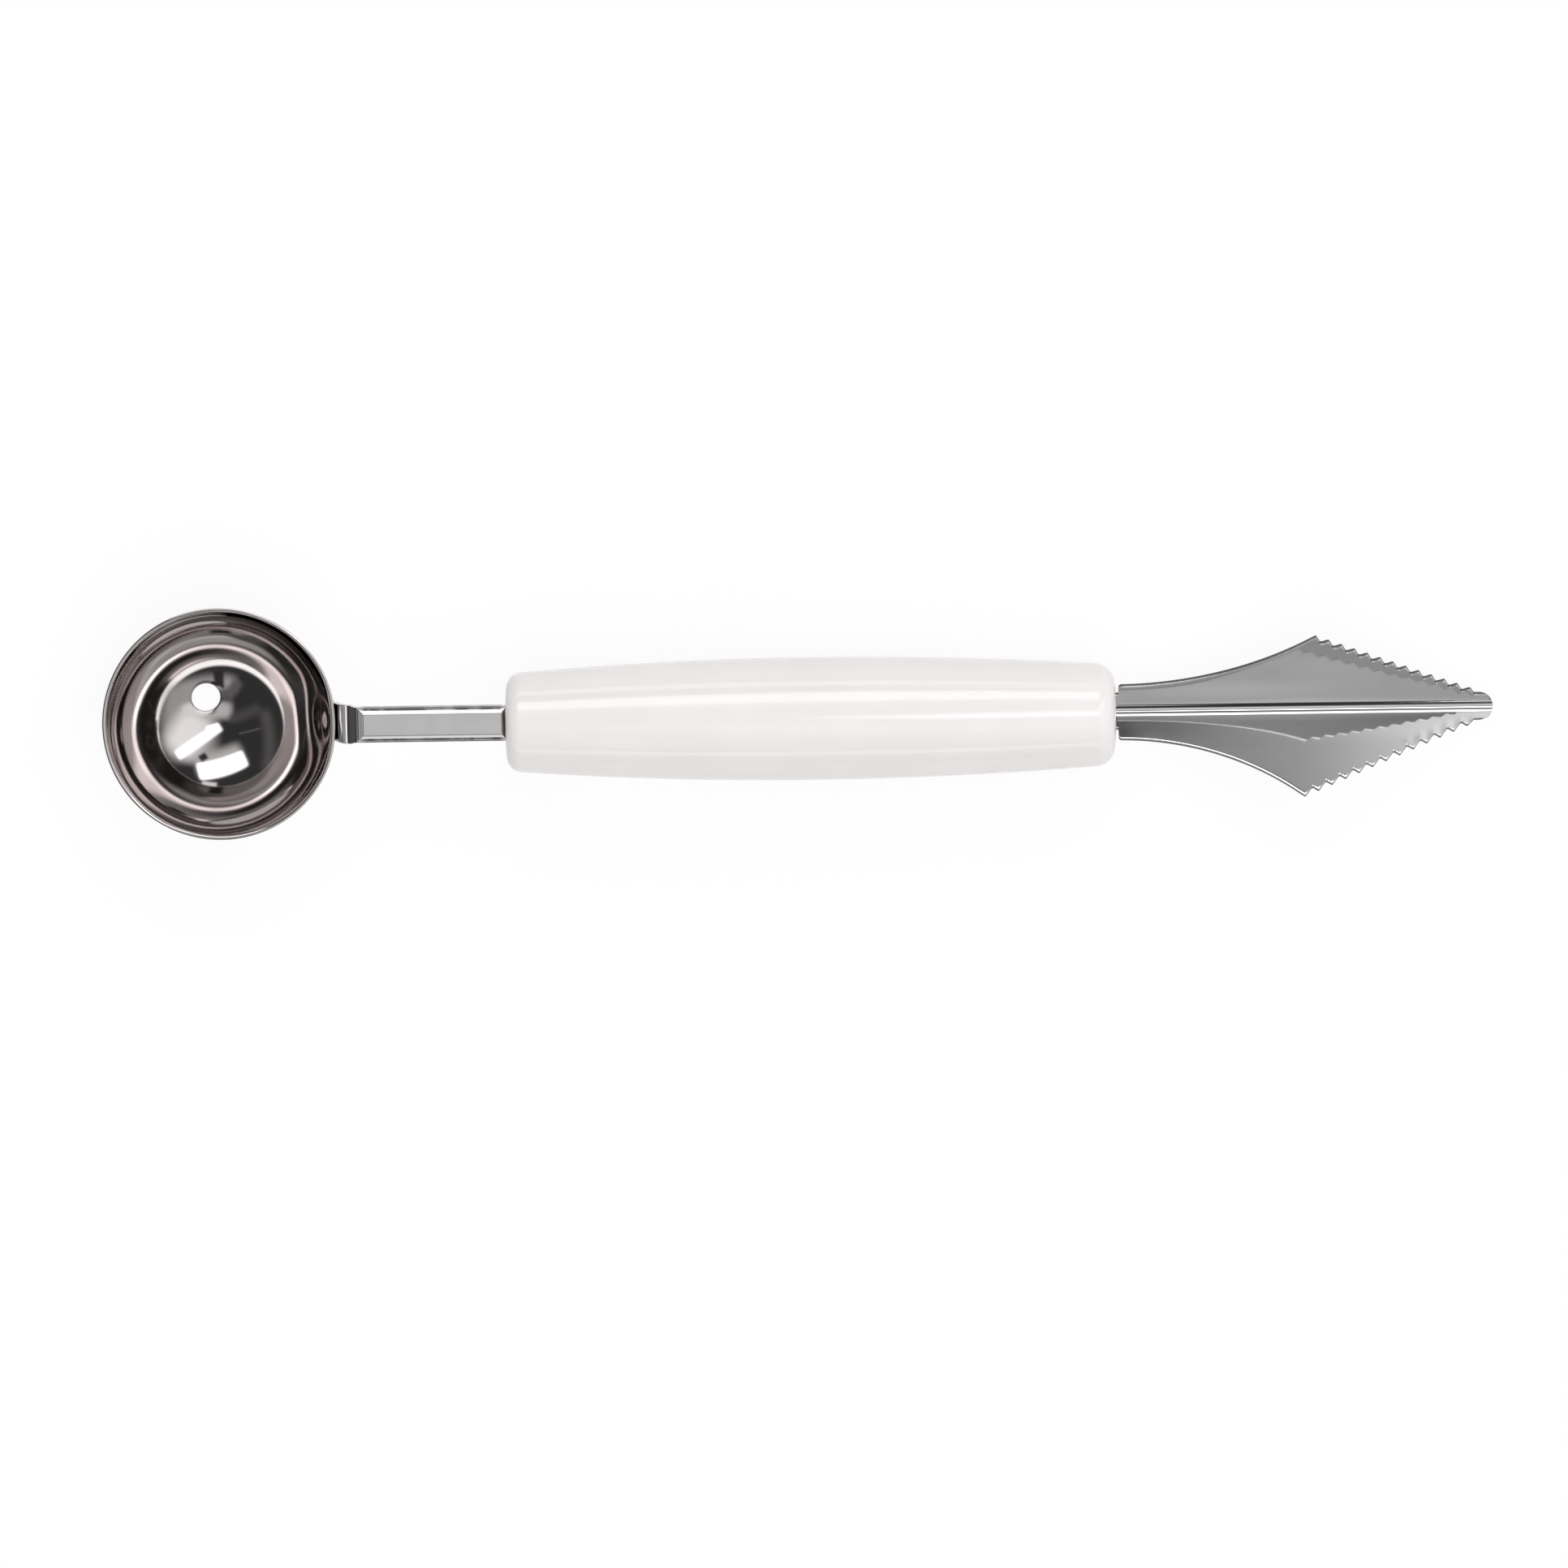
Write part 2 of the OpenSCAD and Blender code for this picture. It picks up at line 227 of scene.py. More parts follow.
def cut_away(piece, cutters):
    """Cuts closed forms out of a piece and removes them"""
    for cutter in cutters:
        cut = piece.modifiers.new("cut", "BOOLEAN")
        cut.operation = "DIFFERENCE"
        cut.solver = "EXACT"
        cut.object = cutter
    mesh = evaluated_mesh(piece)
    piece.modifiers.clear()
    piece.data = mesh
    mesh.name = piece.name
    shade(mesh)
    for cutter in cutters:
        bpy.data.objects.remove(cutter)


def key_cutters(face_x, tang_x, low_z, high_z):
    """Round cutters for the key holes, evenly along a tang"""
    sides = 32
    turns = full_turn(sides)
    faces = [[k, sides + k, sides + (k + 1) % sides, (k + 1) % sides] for k in range(sides)]
    faces += [list(range(sides)), list(range(2 * sides - 1, sides - 1, -1))]
    cutters = []
    for i in range(1, KEY_COUNT + 1):
        x = face_x + (tang_x - face_x) * i / (KEY_COUNT + 1)
        ring = np.stack([x + KEY_D / 2 * np.cos(turns), KEY_D / 2 * np.sin(turns), 0 * turns], axis=-1)
        cutters.append(make_piece("key_cutter", [ring + [0, 0, low_z], ring + [0, 0, high_z]], faces))
    return cutters


def between(value, low, high):
    """Smooth step from 0 at low to 1 at high"""
    share = np.clip((value - low) / (high - low), 0, 1)
    return share * share * (3 - 2 * share)


def corner(radius, steps):
    """Inset and depth of points round a quarter of an edge, from the face to the side"""
    turns = np.linspace(0, math.pi / 2, steps)
    return radius * (1 - np.sin(turns)), radius * (1 - np.cos(turns))


def welding_dent(directions):
    """How deep the pressed flat lies under the ball in these directions, with a soft run-out"""
    turn = np.arccos(np.clip(directions @ np.array(flat_out), -1, 1))
    flat_turn = math.radians(6.0)
    depth = ball_r - flat_r / math.cos(flat_turn)
    slope = flat_r * math.tan(flat_turn) / math.cos(flat_turn)
    end_turn = flat_turn + 2 * depth / slope
    on_flat = ball_r - flat_r / np.cos(np.minimum(turn, flat_turn))
    run_out = depth * np.clip((end_turn - turn) / (end_turn - flat_turn), 0, 1) ** 2
    return np.where(turn < flat_turn, on_flat, run_out)


def electrode_marks(places):
    """Depth of the two round weld marks at these places on the sheet"""
    depth = np.zeros(places.shape[:-1])
    for side in (-1, 1):
        centre = np.array(ball + flat_out * flat_r + flat_down * side * WELD_PITCH / 2)
        gap = np.linalg.norm(places - centre, axis=-1)
        depth += ELECTRODE_DEPTH * (1 - between(gap, 0.5 * ELECTRODE_R, 1.2 * ELECTRODE_R))
    return depth


def make_bowl():
    """Pressed bowl: sheet of even wall with a drain hole, a flat level rim and the dent of the weld"""
    around, along = 288, 132
    turns = full_turn(around)
    side = Vector((0, 1, 0)).cross(drain_out).normalized()
    other = drain_out.cross(side)
    turned = np.cos(turns)[:, None] * np.array(side) + np.sin(turns)[:, None] * np.array(other)

    def sheet_face(radius, rim_turn):
        """Directions from the hole's edge to the rim, on a ball of this radius"""
        hole_turn = math.asin(DRAIN_D / 2 / radius)
        hole = math.cos(hole_turn) * np.array(drain_out) + math.sin(hole_turn) * turned
        azimuth = np.arctan2(turned[:, 1], turned[:, 0])
        rim = np.stack([
            math.sin(rim_turn) * np.cos(azimuth),
            math.sin(rim_turn) * np.sin(azimuth),
            np.full(around, -math.cos(rim_turn)),
        ], axis=-1)
        span = np.arccos(np.clip(np.sum(hole * rim, axis=-1), -1, 1))[:, None]
        share = np.linspace(0, 1, along)[None, :]
        weights = np.sin((1 - share) * span)[..., None], np.sin(share * span)[..., None]
        return (weights[0] * hole[:, None] + weights[1] * rim[:, None]) / np.sin(span)[..., None]

    hollow_r = ball_r - BOWL_WALL
    inside_rim_turn = math.acos(max(-1.0, (ball_r - rim_z) / hollow_r))
    inside = sheet_face(hollow_r, inside_rim_turn)
    outside = sheet_face(ball_r, rim_angle)
    inner = np.array(ball) + inside * (hollow_r - INSIDE_DENT_SHARE * welding_dent(inside))[..., None]
    outer = np.array(ball) + outside * (ball_r - welding_dent(outside))[..., None]
    inner = inner + inside * INSIDE_MARK_SHARE * electrode_marks(inner + inside * BOWL_WALL)[..., None]

    # Rounded edges at the hole and at the rim
    inset, depth = corner(SHEET_EDGE_R, 5)
    across = (outer - inner) / np.linalg.norm(outer - inner, axis=-1, keepdims=True)
    for face, into in ((inner, across), (outer, -across)):
        for end, following in ((0, 1), (-1, -1)):
            rest = face[:, end, :].copy()
            inward = face[:, end + 3 * following, :] - rest
            inward /= np.linalg.norm(inward, axis=-1, keepdims=True)
            for k in range(len(inset)):
                place = end + k * following
                face[:, place, :] = rest + inward * inset[-1 - k] + into[:, end, :] * depth[-1 - k]
    outer[..., 2] = np.minimum(outer[..., 2], rim_z)
    inner[..., 2] = np.minimum(inner[..., 2], rim_z)
    return sheet_solid("pressed_bowl", inner, outer, close_rows=True, sharp_angle=60.0)


def soft_least(a, b):
    """The smaller of two values, rounded where they meet"""
    blend = np.maximum(FOLD_SOFTNESS - np.abs(a - b), 0) / FOLD_SOFTNESS
    return np.minimum(a, b) - blend * blend * FOLD_SOFTNESS / 4


def rib_height(x, y, inset):
    """Height of the pressed rib over the strip at these places, smaller by the inset all round"""
    foot_y = RIB_W / 2 + RIB_SIDE - inset
    from_x = bend_x + inset
    to_x = scoop_end_x - RIB_GAP - inset
    rise = (foot_y - np.abs(y)) / RIB_SIDE
    for limit in ((x - from_x) / RIB_FRONT, (to_x - x) / RIB_BACK, 1.0):
        rise = soft_least(rise, limit)
    return -RIB_H * soft_least(-rise, 0.0)


# The bend of the strip touches the strip's top and the welding flat
strip_top = axis_z + STRIP_T / 2
bend_z = strip_top - BEND_R
bend_x = ball.x + (flat_r + BEND_R + (bend_z - ball.z) * math.sin(flat_tilt)) / math.cos(flat_tilt)
tab_w = stem_high.y - stem_low.y
flare = (tab_w - STRIP_W) / 2


def strip_route():
    """Points along the strip's top face from the tang's end to the tab's end, and the way it faces"""
    rib_end = scoop_end_x - RIB_GAP
    stops = [stem_high.x, scoop_end_x + 0.4 * MM, rib_end - 1.1 * MM, bend_x + 1.7 * MM, bend_x]
    places = [(x, strip_top, 0.0, 1.0) for x in stations(stops, (12, 50, 60, 46))[:-1]]
    for turn in np.linspace(math.pi / 2, math.pi - flat_tilt, 40):
        facing = math.cos(turn), math.sin(turn)
        places.append((bend_x + BEND_R * facing[0], bend_z + BEND_R * facing[1], *facing))
    middle = ball + flat_out * flat_r
    start = Vector((places[-1][0], 0, places[-1][1]))
    length = (middle - start).dot(flat_down)
    down = np.concatenate([
        np.linspace(0, length, 24)[1:-1],
        length + tab_w / 2 * np.sin(np.linspace(0, math.pi / 2, 40)),
    ])
    for distance in down:
        place = start + flat_down * distance
        places.append((place.x, place.z, -flat_out.x, -flat_out.z))
    beyond = np.maximum(np.concatenate([np.full(len(places) - len(down), -1.0), down - length]), 0)
    return np.array(places), beyond


def make_stem():
    """One strip: ribbed stem, bend, round-ended weld tab and the tang inside the handle"""
    route, beyond = strip_route()
    x, z = route[:, 0], route[:, 1]
    widening = np.clip(bend_x - x, 0, math.sqrt(FLARE_R**2 - (FLARE_R - flare) ** 2))
    half_w = STRIP_W / 2 + FLARE_R - np.sqrt(FLARE_R**2 - widening**2)
    half_w = np.sqrt(np.maximum(half_w**2 - beyond**2, 0))

    inset, depth = corner(STRIP_EDGE_R, 7)
    ramp_foot, ramp_top = RIB_W / 2 + RIB_SIDE, RIB_W / 2
    stops = [0, ramp_top - 0.15 * MM, ramp_foot + 0.15 * MM, STRIP_W / 2 - STRIP_EDGE_R]
    half = stations(stops, (9, 26, 4))
    flat_y = np.concatenate([-half[::-1], half[1:]]) / (STRIP_W / 2 - STRIP_EDGE_R)
    round_r = np.minimum(STRIP_EDGE_R, half_w)[:, None]
    scale = round_r / STRIP_EDGE_R
    flat_places = flat_y[None, :] * (half_w[:, None] - round_r)
    side_places = half_w[:, None] - inset[None, 1:] * scale
    y = np.concatenate([-side_places[:, ::-1], flat_places, side_places], axis=1)
    side_deep = depth[None, 1:] * scale
    deep = np.concatenate([side_deep[:, ::-1], np.zeros_like(flat_places), side_deep], axis=1)

    on_strip = (route[:, 3] > 0.999)[:, None]
    rib_angle = math.atan2(RIB_H, RIB_SIDE)
    groove_inset = STRIP_T * math.tan(rib_angle / 2)
    rise = np.where(on_strip, rib_height(x[:, None], y, 0.0), 0.0)
    groove = np.where(on_strip, rib_height(x[:, None], y, groove_inset), 0.0)
    facing = np.stack([route[:, 2], 0 * x, route[:, 3]], axis=-1)[:, None, :]
    base = np.stack([x[:, None] + 0 * y, y, z[:, None] + 0 * y], axis=-1)
    top = base + facing * (rise - deep)[..., None]
    under = base + facing * (groove - STRIP_T + deep)[..., None]
    on_tab = route[:, 3] < -flat_out.z + 0.001
    marks = electrode_marks(base)
    under = under + facing * (marks * on_tab[:, None])[..., None]
    stem = sheet_solid("ribbed_stem", top, under, sharp_angle=50.0)
    low_z = axis_z - 2 * STRIP_T
    cut_away(stem, key_cutters(scoop_end_x, stem_high.x, low_z, axis_z + 2 * STRIP_T))
    return stem


def barrel_radius(x):
    """Radius of the barrel's own curve, before its ends are rounded"""
    middle = (scoop_end_x + blade_end_x) / 2
    reach = (blade_end_x - scoop_end_x) / 2
    full_r = (grip_high.z - grip_low.z) / 2
    swell = full_r - np.where(x < middle, SCOOP_END_D, BLADE_END_D) / 2
    curve_r = (reach**2 + swell**2) / (2 * swell)
    return full_r - curve_r + np.sqrt(curve_r**2 - (x - middle) ** 2)


def end_rounding(face_x, into, radius, steps):
    """Places and radii of a barrel's end, from the middle of its face round the edge to its side"""
    turns = np.linspace(0, math.pi / 2, steps)
    x = face_x + into * radius * (1 - np.cos(turns))
    edge_r = barrel_radius(face_x + into * radius) - radius * (1 - np.sin(turns))
    face_r = np.linspace(0, 1, 6)[:-1] * edge_r[0]
    return np.append(np.full(len(face_r), face_x), x), np.append(face_r, edge_r)


def pocket_cutter(low, high, face_x, mouth_x):
    """Box cutter of a tang's pocket that opens a little wider at the handle's end face"""
    inward = -1 if mouth_x > face_x else 1
    rings = (
        (low.x if inward < 0 else high.x, 0.0),
        (face_x + inward * POCKET_LIP, 0.0),
        (mouth_x, POCKET_LIP + abs(mouth_x - face_x)),
    )
    points = []
    for x, grow in rings:
        near, far = low.y - grow, high.y + grow
        under, over = low.z - grow, high.z + grow
        points += [(x, near, under), (x, far, under), (x, far, over), (x, near, over)]
    faces = [[4 * k + i, 4 * k + (i + 1) % 4, 4 * k + 4 + (i + 1) % 4, 4 * k + 4 + i]
             for k in range(2) for i in range(4)]
    return make_piece("pocket_cutter", points, faces + [[3, 2, 1, 0], [8, 9, 10, 11]])


def make_handle():
    """Moulded barrel with rounded ends and a pocket for each tang"""
    scoop_round = end_rounding(scoop_end_x, 1, SCOOP_EDGE_R, 14)
    blade_round = end_rounding(blade_end_x, -1, BLADE_EDGE_R, 20)
    side_x = np.linspace(scoop_round[0][-1], blade_round[0][-1], 120)[1:-1]
    x = np.concatenate([scoop_round[0], side_x, blade_round[0][::-1]])
    radius = np.concatenate([scoop_round[1], barrel_radius(side_x), blade_round[1][::-1]])
    turns = full_turn(192)[:, None]
    points = np.stack([x + 0 * turns, radius * np.sin(turns), axis_z + radius * np.cos(turns)], axis=-1)
    faces = grid_faces(len(turns), len(x), True)
    grip = make_piece("barrel_handle", points, faces)
    stem_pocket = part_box("stem_adhesive")
    blade_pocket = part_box("blade_adhesive")
    cut_away(grip, [
        pocket_cutter(*stem_pocket, scoop_end_x, scoop_end_x - MM),
        pocket_cutter(*blade_pocket, blade_end_x, blade_end_x + MM),
    ])
    return grip


# The fold of the blade
fold_centre_z = blade_low.z + BLADE_T + FOLD_R
fold_run = FOLD_R * math.tan(WING_SLOPE)
nose_r = NOSE_W * math.cos(WING_SLOPE) + BLADE_T * math.sin(WING_SLOPE)
foot_x = nose_x - nose_r - NOSE_FLAT


def row_of_tips(side):
    """Place of the first tip and the pitch of the tips along the tool, on this side's wing"""
    first_x = base_x + WING_AT + side * WING_SKEW
    steep = STEEP_SHARES[side]
    last_x = ((TEETH - 1) * foot_x + steep * first_x) / (TEETH - 1 + steep)
    return first_x, (last_x - first_x) / (TEETH - 1)


def rounding_cuts(side):
    """Shares of a tooth's height that the rounding takes off its tip and fills in its gullet"""
    pitch = row_of_tips(side)[1]
    steep = STEEP_SHARES[side]
    half_turn = (math.atan(steep * pitch / TOOTH_H) + math.atan((1 - steep) * pitch / TOOTH_H)) / 2
    loss = (1 / math.sin(half_turn) - 1) / TOOTH_H
    return TIP_R * loss, GULLET_R * loss


SAW_SIZES = {
    "Teeth": float(TEETH), "Tooth Height": TOOTH_H, "Steep Share Ahead": STEEP_SHARES[1],
    "Steep Share Behind": STEEP_SHARES[-1], "Tip Round": 0.1, "Gullet Round": 0.16,
    "Tip Cut": rounding_cuts(1)[0], "Gullet Cut": rounding_cuts(1)[1],
}


def blank_edge(x, side):
    """Width of a wing up its slope before the teeth are cut, at these places along the tool"""
    first_x, pitch = row_of_tips(side)
    last_x = first_x + pitch * (TEETH - 1)
    rise = WING_W - BASE_W
    shoulder_r = ((first_x - base_x) ** 2 + rise**2) / (2 * rise)
    run = np.clip(x - base_x, 0, first_x - base_x)
    shoulder = BASE_W + shoulder_r - np.sqrt(shoulder_r**2 - run**2)
    in_corner = np.clip(BASE_CORNER_R - (x - base_x), 0, BASE_CORNER_R)
    shoulder -= BASE_CORNER_R - np.sqrt(BASE_CORNER_R**2 - in_corner**2)
    tips = WING_W + (NOSE_W + TOOTH_H - WING_W) * (x - first_x) / (last_x - first_x)
    edge = np.where(x < first_x, shoulder, tips)
    past_last = np.clip((x - last_x) / (foot_x - last_x), 0, 1)
    toothless = TOOTH_H * (1 - rounding_cuts(side)[1] * past_last)
    edge = np.where(x > last_x, NOSE_W + toothless, edge)
    return np.where(x < base_x, BLADE_TANG_W, edge)


def make_saw_tree():
    """Geometry nodes that cut the teeth: a lopsided wave along the edge, rounded at tips and gullets"""
    tree = bpy.data.node_groups.new("saw_teeth", "GeometryNodeTree")
    tree.interface.new_socket("Blank", in_out="INPUT", socket_type="NodeSocketGeometry")
    for name, value in SAW_SIZES.items():
        socket = tree.interface.new_socket(name, in_out="INPUT", socket_type="NodeSocketFloat")
        socket.default_value = value
    tree.interface.new_socket("Steel", in_out="INPUT", socket_type="NodeSocketMaterial")
    tree.interface.new_socket("Blade", in_out="OUTPUT", socket_type="NodeSocketGeometry")
    given = tree.nodes.new("NodeGroupInput").outputs

    def stored(name, kind):
        read = add_node(tree, "GeometryNodeInputNamedAttribute", {"Name": name}, data_type=kind)
        return read.outputs["Attribute"]

    def less(a, b):
        return calculate(tree, "SUBTRACT", a, b)

    def rounded(value, amount):
        """Zero stays zero and one stays one, and the turn at zero is round"""
        square = times(tree, amount, amount)
        hypotenuse = calculate(tree, "SQRT", plus(tree, times(tree, value, value), square))
        full = calculate(tree, "SQRT", plus(tree, square, 1.0))
        return calculate(tree, "DIVIDE", less(hypotenuse, amount), less(full, amount))

    place = stored("tooth_place", "FLOAT")
    down = stored("down_the_wing", "FLOAT_VECTOR")
    behind = calculate(tree, "GREATER_THAN", apart(tree, down)["Y"], 0.0)
    steep = plus(tree, times(tree, given["Steep Share Behind"], behind),
                 times(tree, given["Steep Share Ahead"], less(1.0, behind)))
    phase = calculate(tree, "FRACT", place)
    falling = calculate(tree, "DIVIDE", phase, steep)
    climbing = calculate(tree, "DIVIDE", less(1.0, phase), less(1.0, steep))
    last = less(given["Teeth"], 1.0)
    past_last = calculate(tree, "MINIMUM", calculate(tree, "DIVIDE", less(place, last), steep), 1.0)
    beyond = calculate(tree, "GREATER_THAN", place, last)
    wave = calculate(tree, "MINIMUM", falling, climbing)
    wave = plus(tree, times(tree, wave, less(1.0, beyond)), times(tree, past_last, beyond))
    wave = times(tree, wave, calculate(tree, "GREATER_THAN", place, 0.0))
    wave = rounded(wave, given["Tip Round"])
    wave = less(1.0, rounded(less(1.0, wave), given["Gullet Round"]))
    room = less(less(1.0, given["Tip Cut"]), given["Gullet Cut"])
    cut = times(tree, plus(tree, times(tree, wave, room), given["Tip Cut"]),
                given["Tooth Height"], stored("tooth_share", "FLOAT"))
    shift = vector_sum(tree, "SCALE", down, scale=cut)
    move = add_node(tree, "GeometryNodeSetPosition", {"Geometry": given["Blank"], "Offset": shift})
    realize = add_node(tree, "GeometryNodeRealizeInstances", {0: move.outputs[0]})
    finish = add_node(tree, "GeometryNodeSetMaterial", {
        "Geometry": realize.outputs[0], "Material": given["Steel"],
    })
    add_node(tree, "NodeGroupOutput", {0: finish.outputs[0]})
    return tree


def blade_columns():
    """Places along the tool where the blade has a ring of points, close together on teeth and curves"""
    parts = [
        np.linspace(blade_low.x, base_x - 0.02 * MM, 8),
        base_x + BASE_CORNER_R * (1 - np.cos(np.linspace(0, math.pi / 2, 8))),
        np.linspace(base_x + BASE_CORNER_R, base_x + WING_AT - 1.5 * WING_SKEW, 44),
        nose_x - nose_r * (1 - np.sin(np.linspace(0, math.pi / 2, 26))),
        np.linspace(foot_x, nose_x - nose_r, 6),
    ]
    for side in (-1, 1):
        first_x, pitch = row_of_tips(side)
        steep = STEEP_SHARES[side]
        in_tooth = np.concatenate([np.linspace(0, steep, 8), np.linspace(steep, 1, 9)[1:-1]])
        parts.append(np.concatenate([first_x + pitch * (k + in_tooth) for k in range(-1, TEETH)]))
    x = np.unique(np.round(np.concatenate(parts), 7))
    x = x[(x <= nose_x + TINY)]
    return x[np.concatenate([[True], np.diff(x) > 0.015 * MM])]


def make_blade(steel):
    """Folded sheet: two wings on a rounded fold, cut to shape by the saw-teeth tree"""
    x = blade_columns()
    x[-1] = nose_x
    rows = stations([0, 0.6, 0.93, 0.97, 1.0], (7, 6, 2, 2))
    arc = np.linspace(-1, 1, 21)[1:-1]
    round_x = np.clip((x - (nose_x - nose_r)) / nose_r, 0, 1)
    plan_half = np.maximum(nose_r * np.sqrt(1 - round_x**2), 0.1 * MM) + MM * (round_x == 0)
    faces, places, shares, downs = [], [], [], []
    bow = WING_BOW * np.sin((x - base_x) / (9 * MM)) * between(x, base_x, base_x + 6 * MM)
    inset, depth = corner(CUT_EDGE, 3)
    for radius, into in ((FOLD_R, 1), (FOLD_R + BLADE_T, -1)):
        turn = np.minimum(WING_SLOPE, np.arcsin(np.minimum(plan_half / radius, 1)))[:, None]
        room = np.maximum((plan_half - radius * math.sin(WING_SLOPE)) / math.cos(WING_SLOPE), 0.02 * MM)
        wings = []
        for side in (1, -1):
            wide = np.maximum(blank_edge(x, side) - fold_run, 0.02 * MM)
            nose_waste = TOOTH_H * (1 - rounding_cuts(side)[1])
            wide = np.where(round_x > 0, np.minimum(wide, room + nose_waste), wide)
            up = np.concatenate([
                rows[None, :] * np.maximum(wide - CUT_EDGE, 0)[:, None],
                wide[:, None] - np.minimum(inset[None, 1:], wide[:, None] / 2),
            ], axis=1)
            lift = np.concatenate([np.zeros(len(rows)), depth[1:]])
            sheet = (radius + into * lift)[None, :] + bow[:, None] * between(up, 0.5 * MM, 5 * MM)
            y = side * (sheet * np.sin(turn) + up * math.cos(WING_SLOPE))
            z = fold_centre_z - sheet * np.cos(turn) + up * math.sin(WING_SLOPE)
            grid = np.stack([x[:, None] + 0 * y, y, z], axis=-1)
            first_x, pitch = row_of_tips(side)
            place = (x - first_x) / pitch
            share = np.clip(1 - (wide[:, None] - up) / np.minimum(TOOTH_REACH, wide)[:, None], 0, 1)
            share = share * between(place, -0.35, 0.0)[:, None]
            place = np.broadcast_to(place[:, None], up.shape)
            down = np.array([0.0, -side * math.cos(WING_SLOPE), -math.sin(WING_SLOPE)])
            down = np.broadcast_to(down, grid.shape)
            order = slice(None, None, -side)
            wings.append([values[:, order] for values in (grid, place, share, down)])
        round_y = -radius * np.sin(arc[None, :] * turn)
        round_z = fold_centre_z - radius * np.cos(arc[None, :] * turn)
        arc_grid = np.stack([x[:, None] + 0 * round_y, round_y, round_z], axis=-1)
        fold = arc_grid, 0 * round_y, 0 * round_y, 0 * arc_grid
        for kept, parts in zip((faces, places, shares, downs), zip(wings[0], fold, wings[1])):
            kept.append(np.concatenate(parts, axis=1))
    blade = sheet_solid("folded_blade_blank", faces[0], faces[1])

    # The doubles are merged by now, so each value finds its point by place
    all_points = np.concatenate([f.reshape(-1, 3) for f in faces])
    finder = kdtree.KDTree(len(all_points))
    for i, point in enumerate(all_points):
        finder.insert(point, i)
    finder.balance()
    nearest = [finder.find(v.co)[1] for v in blade.data.vertices]
    values = {
        "tooth_place": ("FLOAT", "value", places, 1),
        "tooth_share": ("FLOAT", "value", shares, 1),
        "down_the_wing": ("FLOAT_VECTOR", "vector", downs, 3),
    }
    for name, (kind, field, grids, width) in values.items():
        by_point = np.concatenate([g.reshape(-1, width) for g in grids])[nearest]
        attribute = blade.data.attributes.new(name, kind, "POINT")
        attribute.data.foreach_set(field, by_point.astype(np.float32).ravel())

    saw = blade.modifiers.new("saw_teeth", "NODES")
    saw.node_group = make_saw_tree()
    settings = SAW_SIZES | {"Steel": steel}
    for item in saw.node_group.interface.items_tree:
        if item.name in settings:
            saw[item.identifier] = settings[item.name]
    mesh = evaluated_mesh(blade)
    bpy.data.objects.remove(blade)
    for name in values:
        mesh.attributes.remove(mesh.attributes[name])
    shade(mesh)
    piece = new_object("folded_blade", mesh)
    cut_away(piece, key_cutters(blade_end_x, blade_low.x, blade_low.z - MM, axis_z))
    return piece


def add_node(tree, kind, inputs=None, **settings):
    """Adds a node, sets it up and feeds its inputs from values or from other nodes"""
    made = tree.nodes.new(kind)
    for name, value in settings.items():
        setattr(made, name, value)
    for key, value in (inputs or {}).items():
        if isinstance(value, bpy.types.NodeSocket):
            tree.links.new(value, made.inputs[key])
        else:
            made.inputs[key].default_value = value
    return made


def calculate(tree, operation, a, b=0.0):
    """One sum on two values"""
    return add_node(tree, "ShaderNodeMath", {0: a, 1: b}, operation=operation).outputs[0]


def times(tree, first, *others):
    """Product of values"""
    for value in others:
        first = calculate(tree, "MULTIPLY", first, value)
    return first


def plus(tree, first, *others):
    """Sum of values"""
    for value in others:
        first = calculate(tree, "ADD", first, value)
    return first


def noise(tree, place, scale, detail, seed=None, **more):
    """Random cloud over a place, and another one for each seed"""
    inputs = {"Vector": place, "Scale": scale, "Detail": detail, **more}
    if seed is None:
        return add_node(tree, "ShaderNodeTexNoise", inputs).outputs
    return add_node(tree, "ShaderNodeTexNoise", inputs | {"W": seed}, noise_dimensions="4D").outputs


def apart(tree, vector):
    """X, Y and Z of a vector"""
    return add_node(tree, "ShaderNodeSeparateXYZ", {0: vector}).outputs


def ease(tree, value, from_low, from_high, to_low=0.0, to_high=1.0):
    """Smooth change from one level to another"""
    made = add_node(tree, "ShaderNodeMapRange", {
        "Value": value, "From Min": from_low, "From Max": from_high, "To Min": to_low, "To Max": to_high,
    }, interpolation_type="SMOOTHSTEP")
    return made.outputs["Result"]


def vector_sum(tree, operation, a, b=None, output="Vector", scale=None):
    """One sum on vectors: on two of them, or on one and a scale"""
    inputs = {0: a, 1: b} if scale is None else {0: a, "Scale": scale}
    return add_node(tree, "ShaderNodeVectorMath", inputs, operation=operation).outputs[output]


def new_group(name, inputs, outputs):
    """A shader node group with named sockets, what it is given and the node that its results go to"""
    group = bpy.data.node_groups.new(name, "ShaderNodeTree")
    for label, value in inputs.items():
        kind = "NodeSocketVector" if isinstance(value, tuple) else "NodeSocketFloat"
        socket = group.interface.new_socket(label, in_out="INPUT", socket_type=kind)
        socket.default_value = value
    for label in outputs:
        group.interface.new_socket(label, in_out="OUTPUT", socket_type="NodeSocketFloat")
    given = group.nodes.new("NodeGroupInput").outputs
    return group, given, group.nodes.new("NodeGroupOutput")


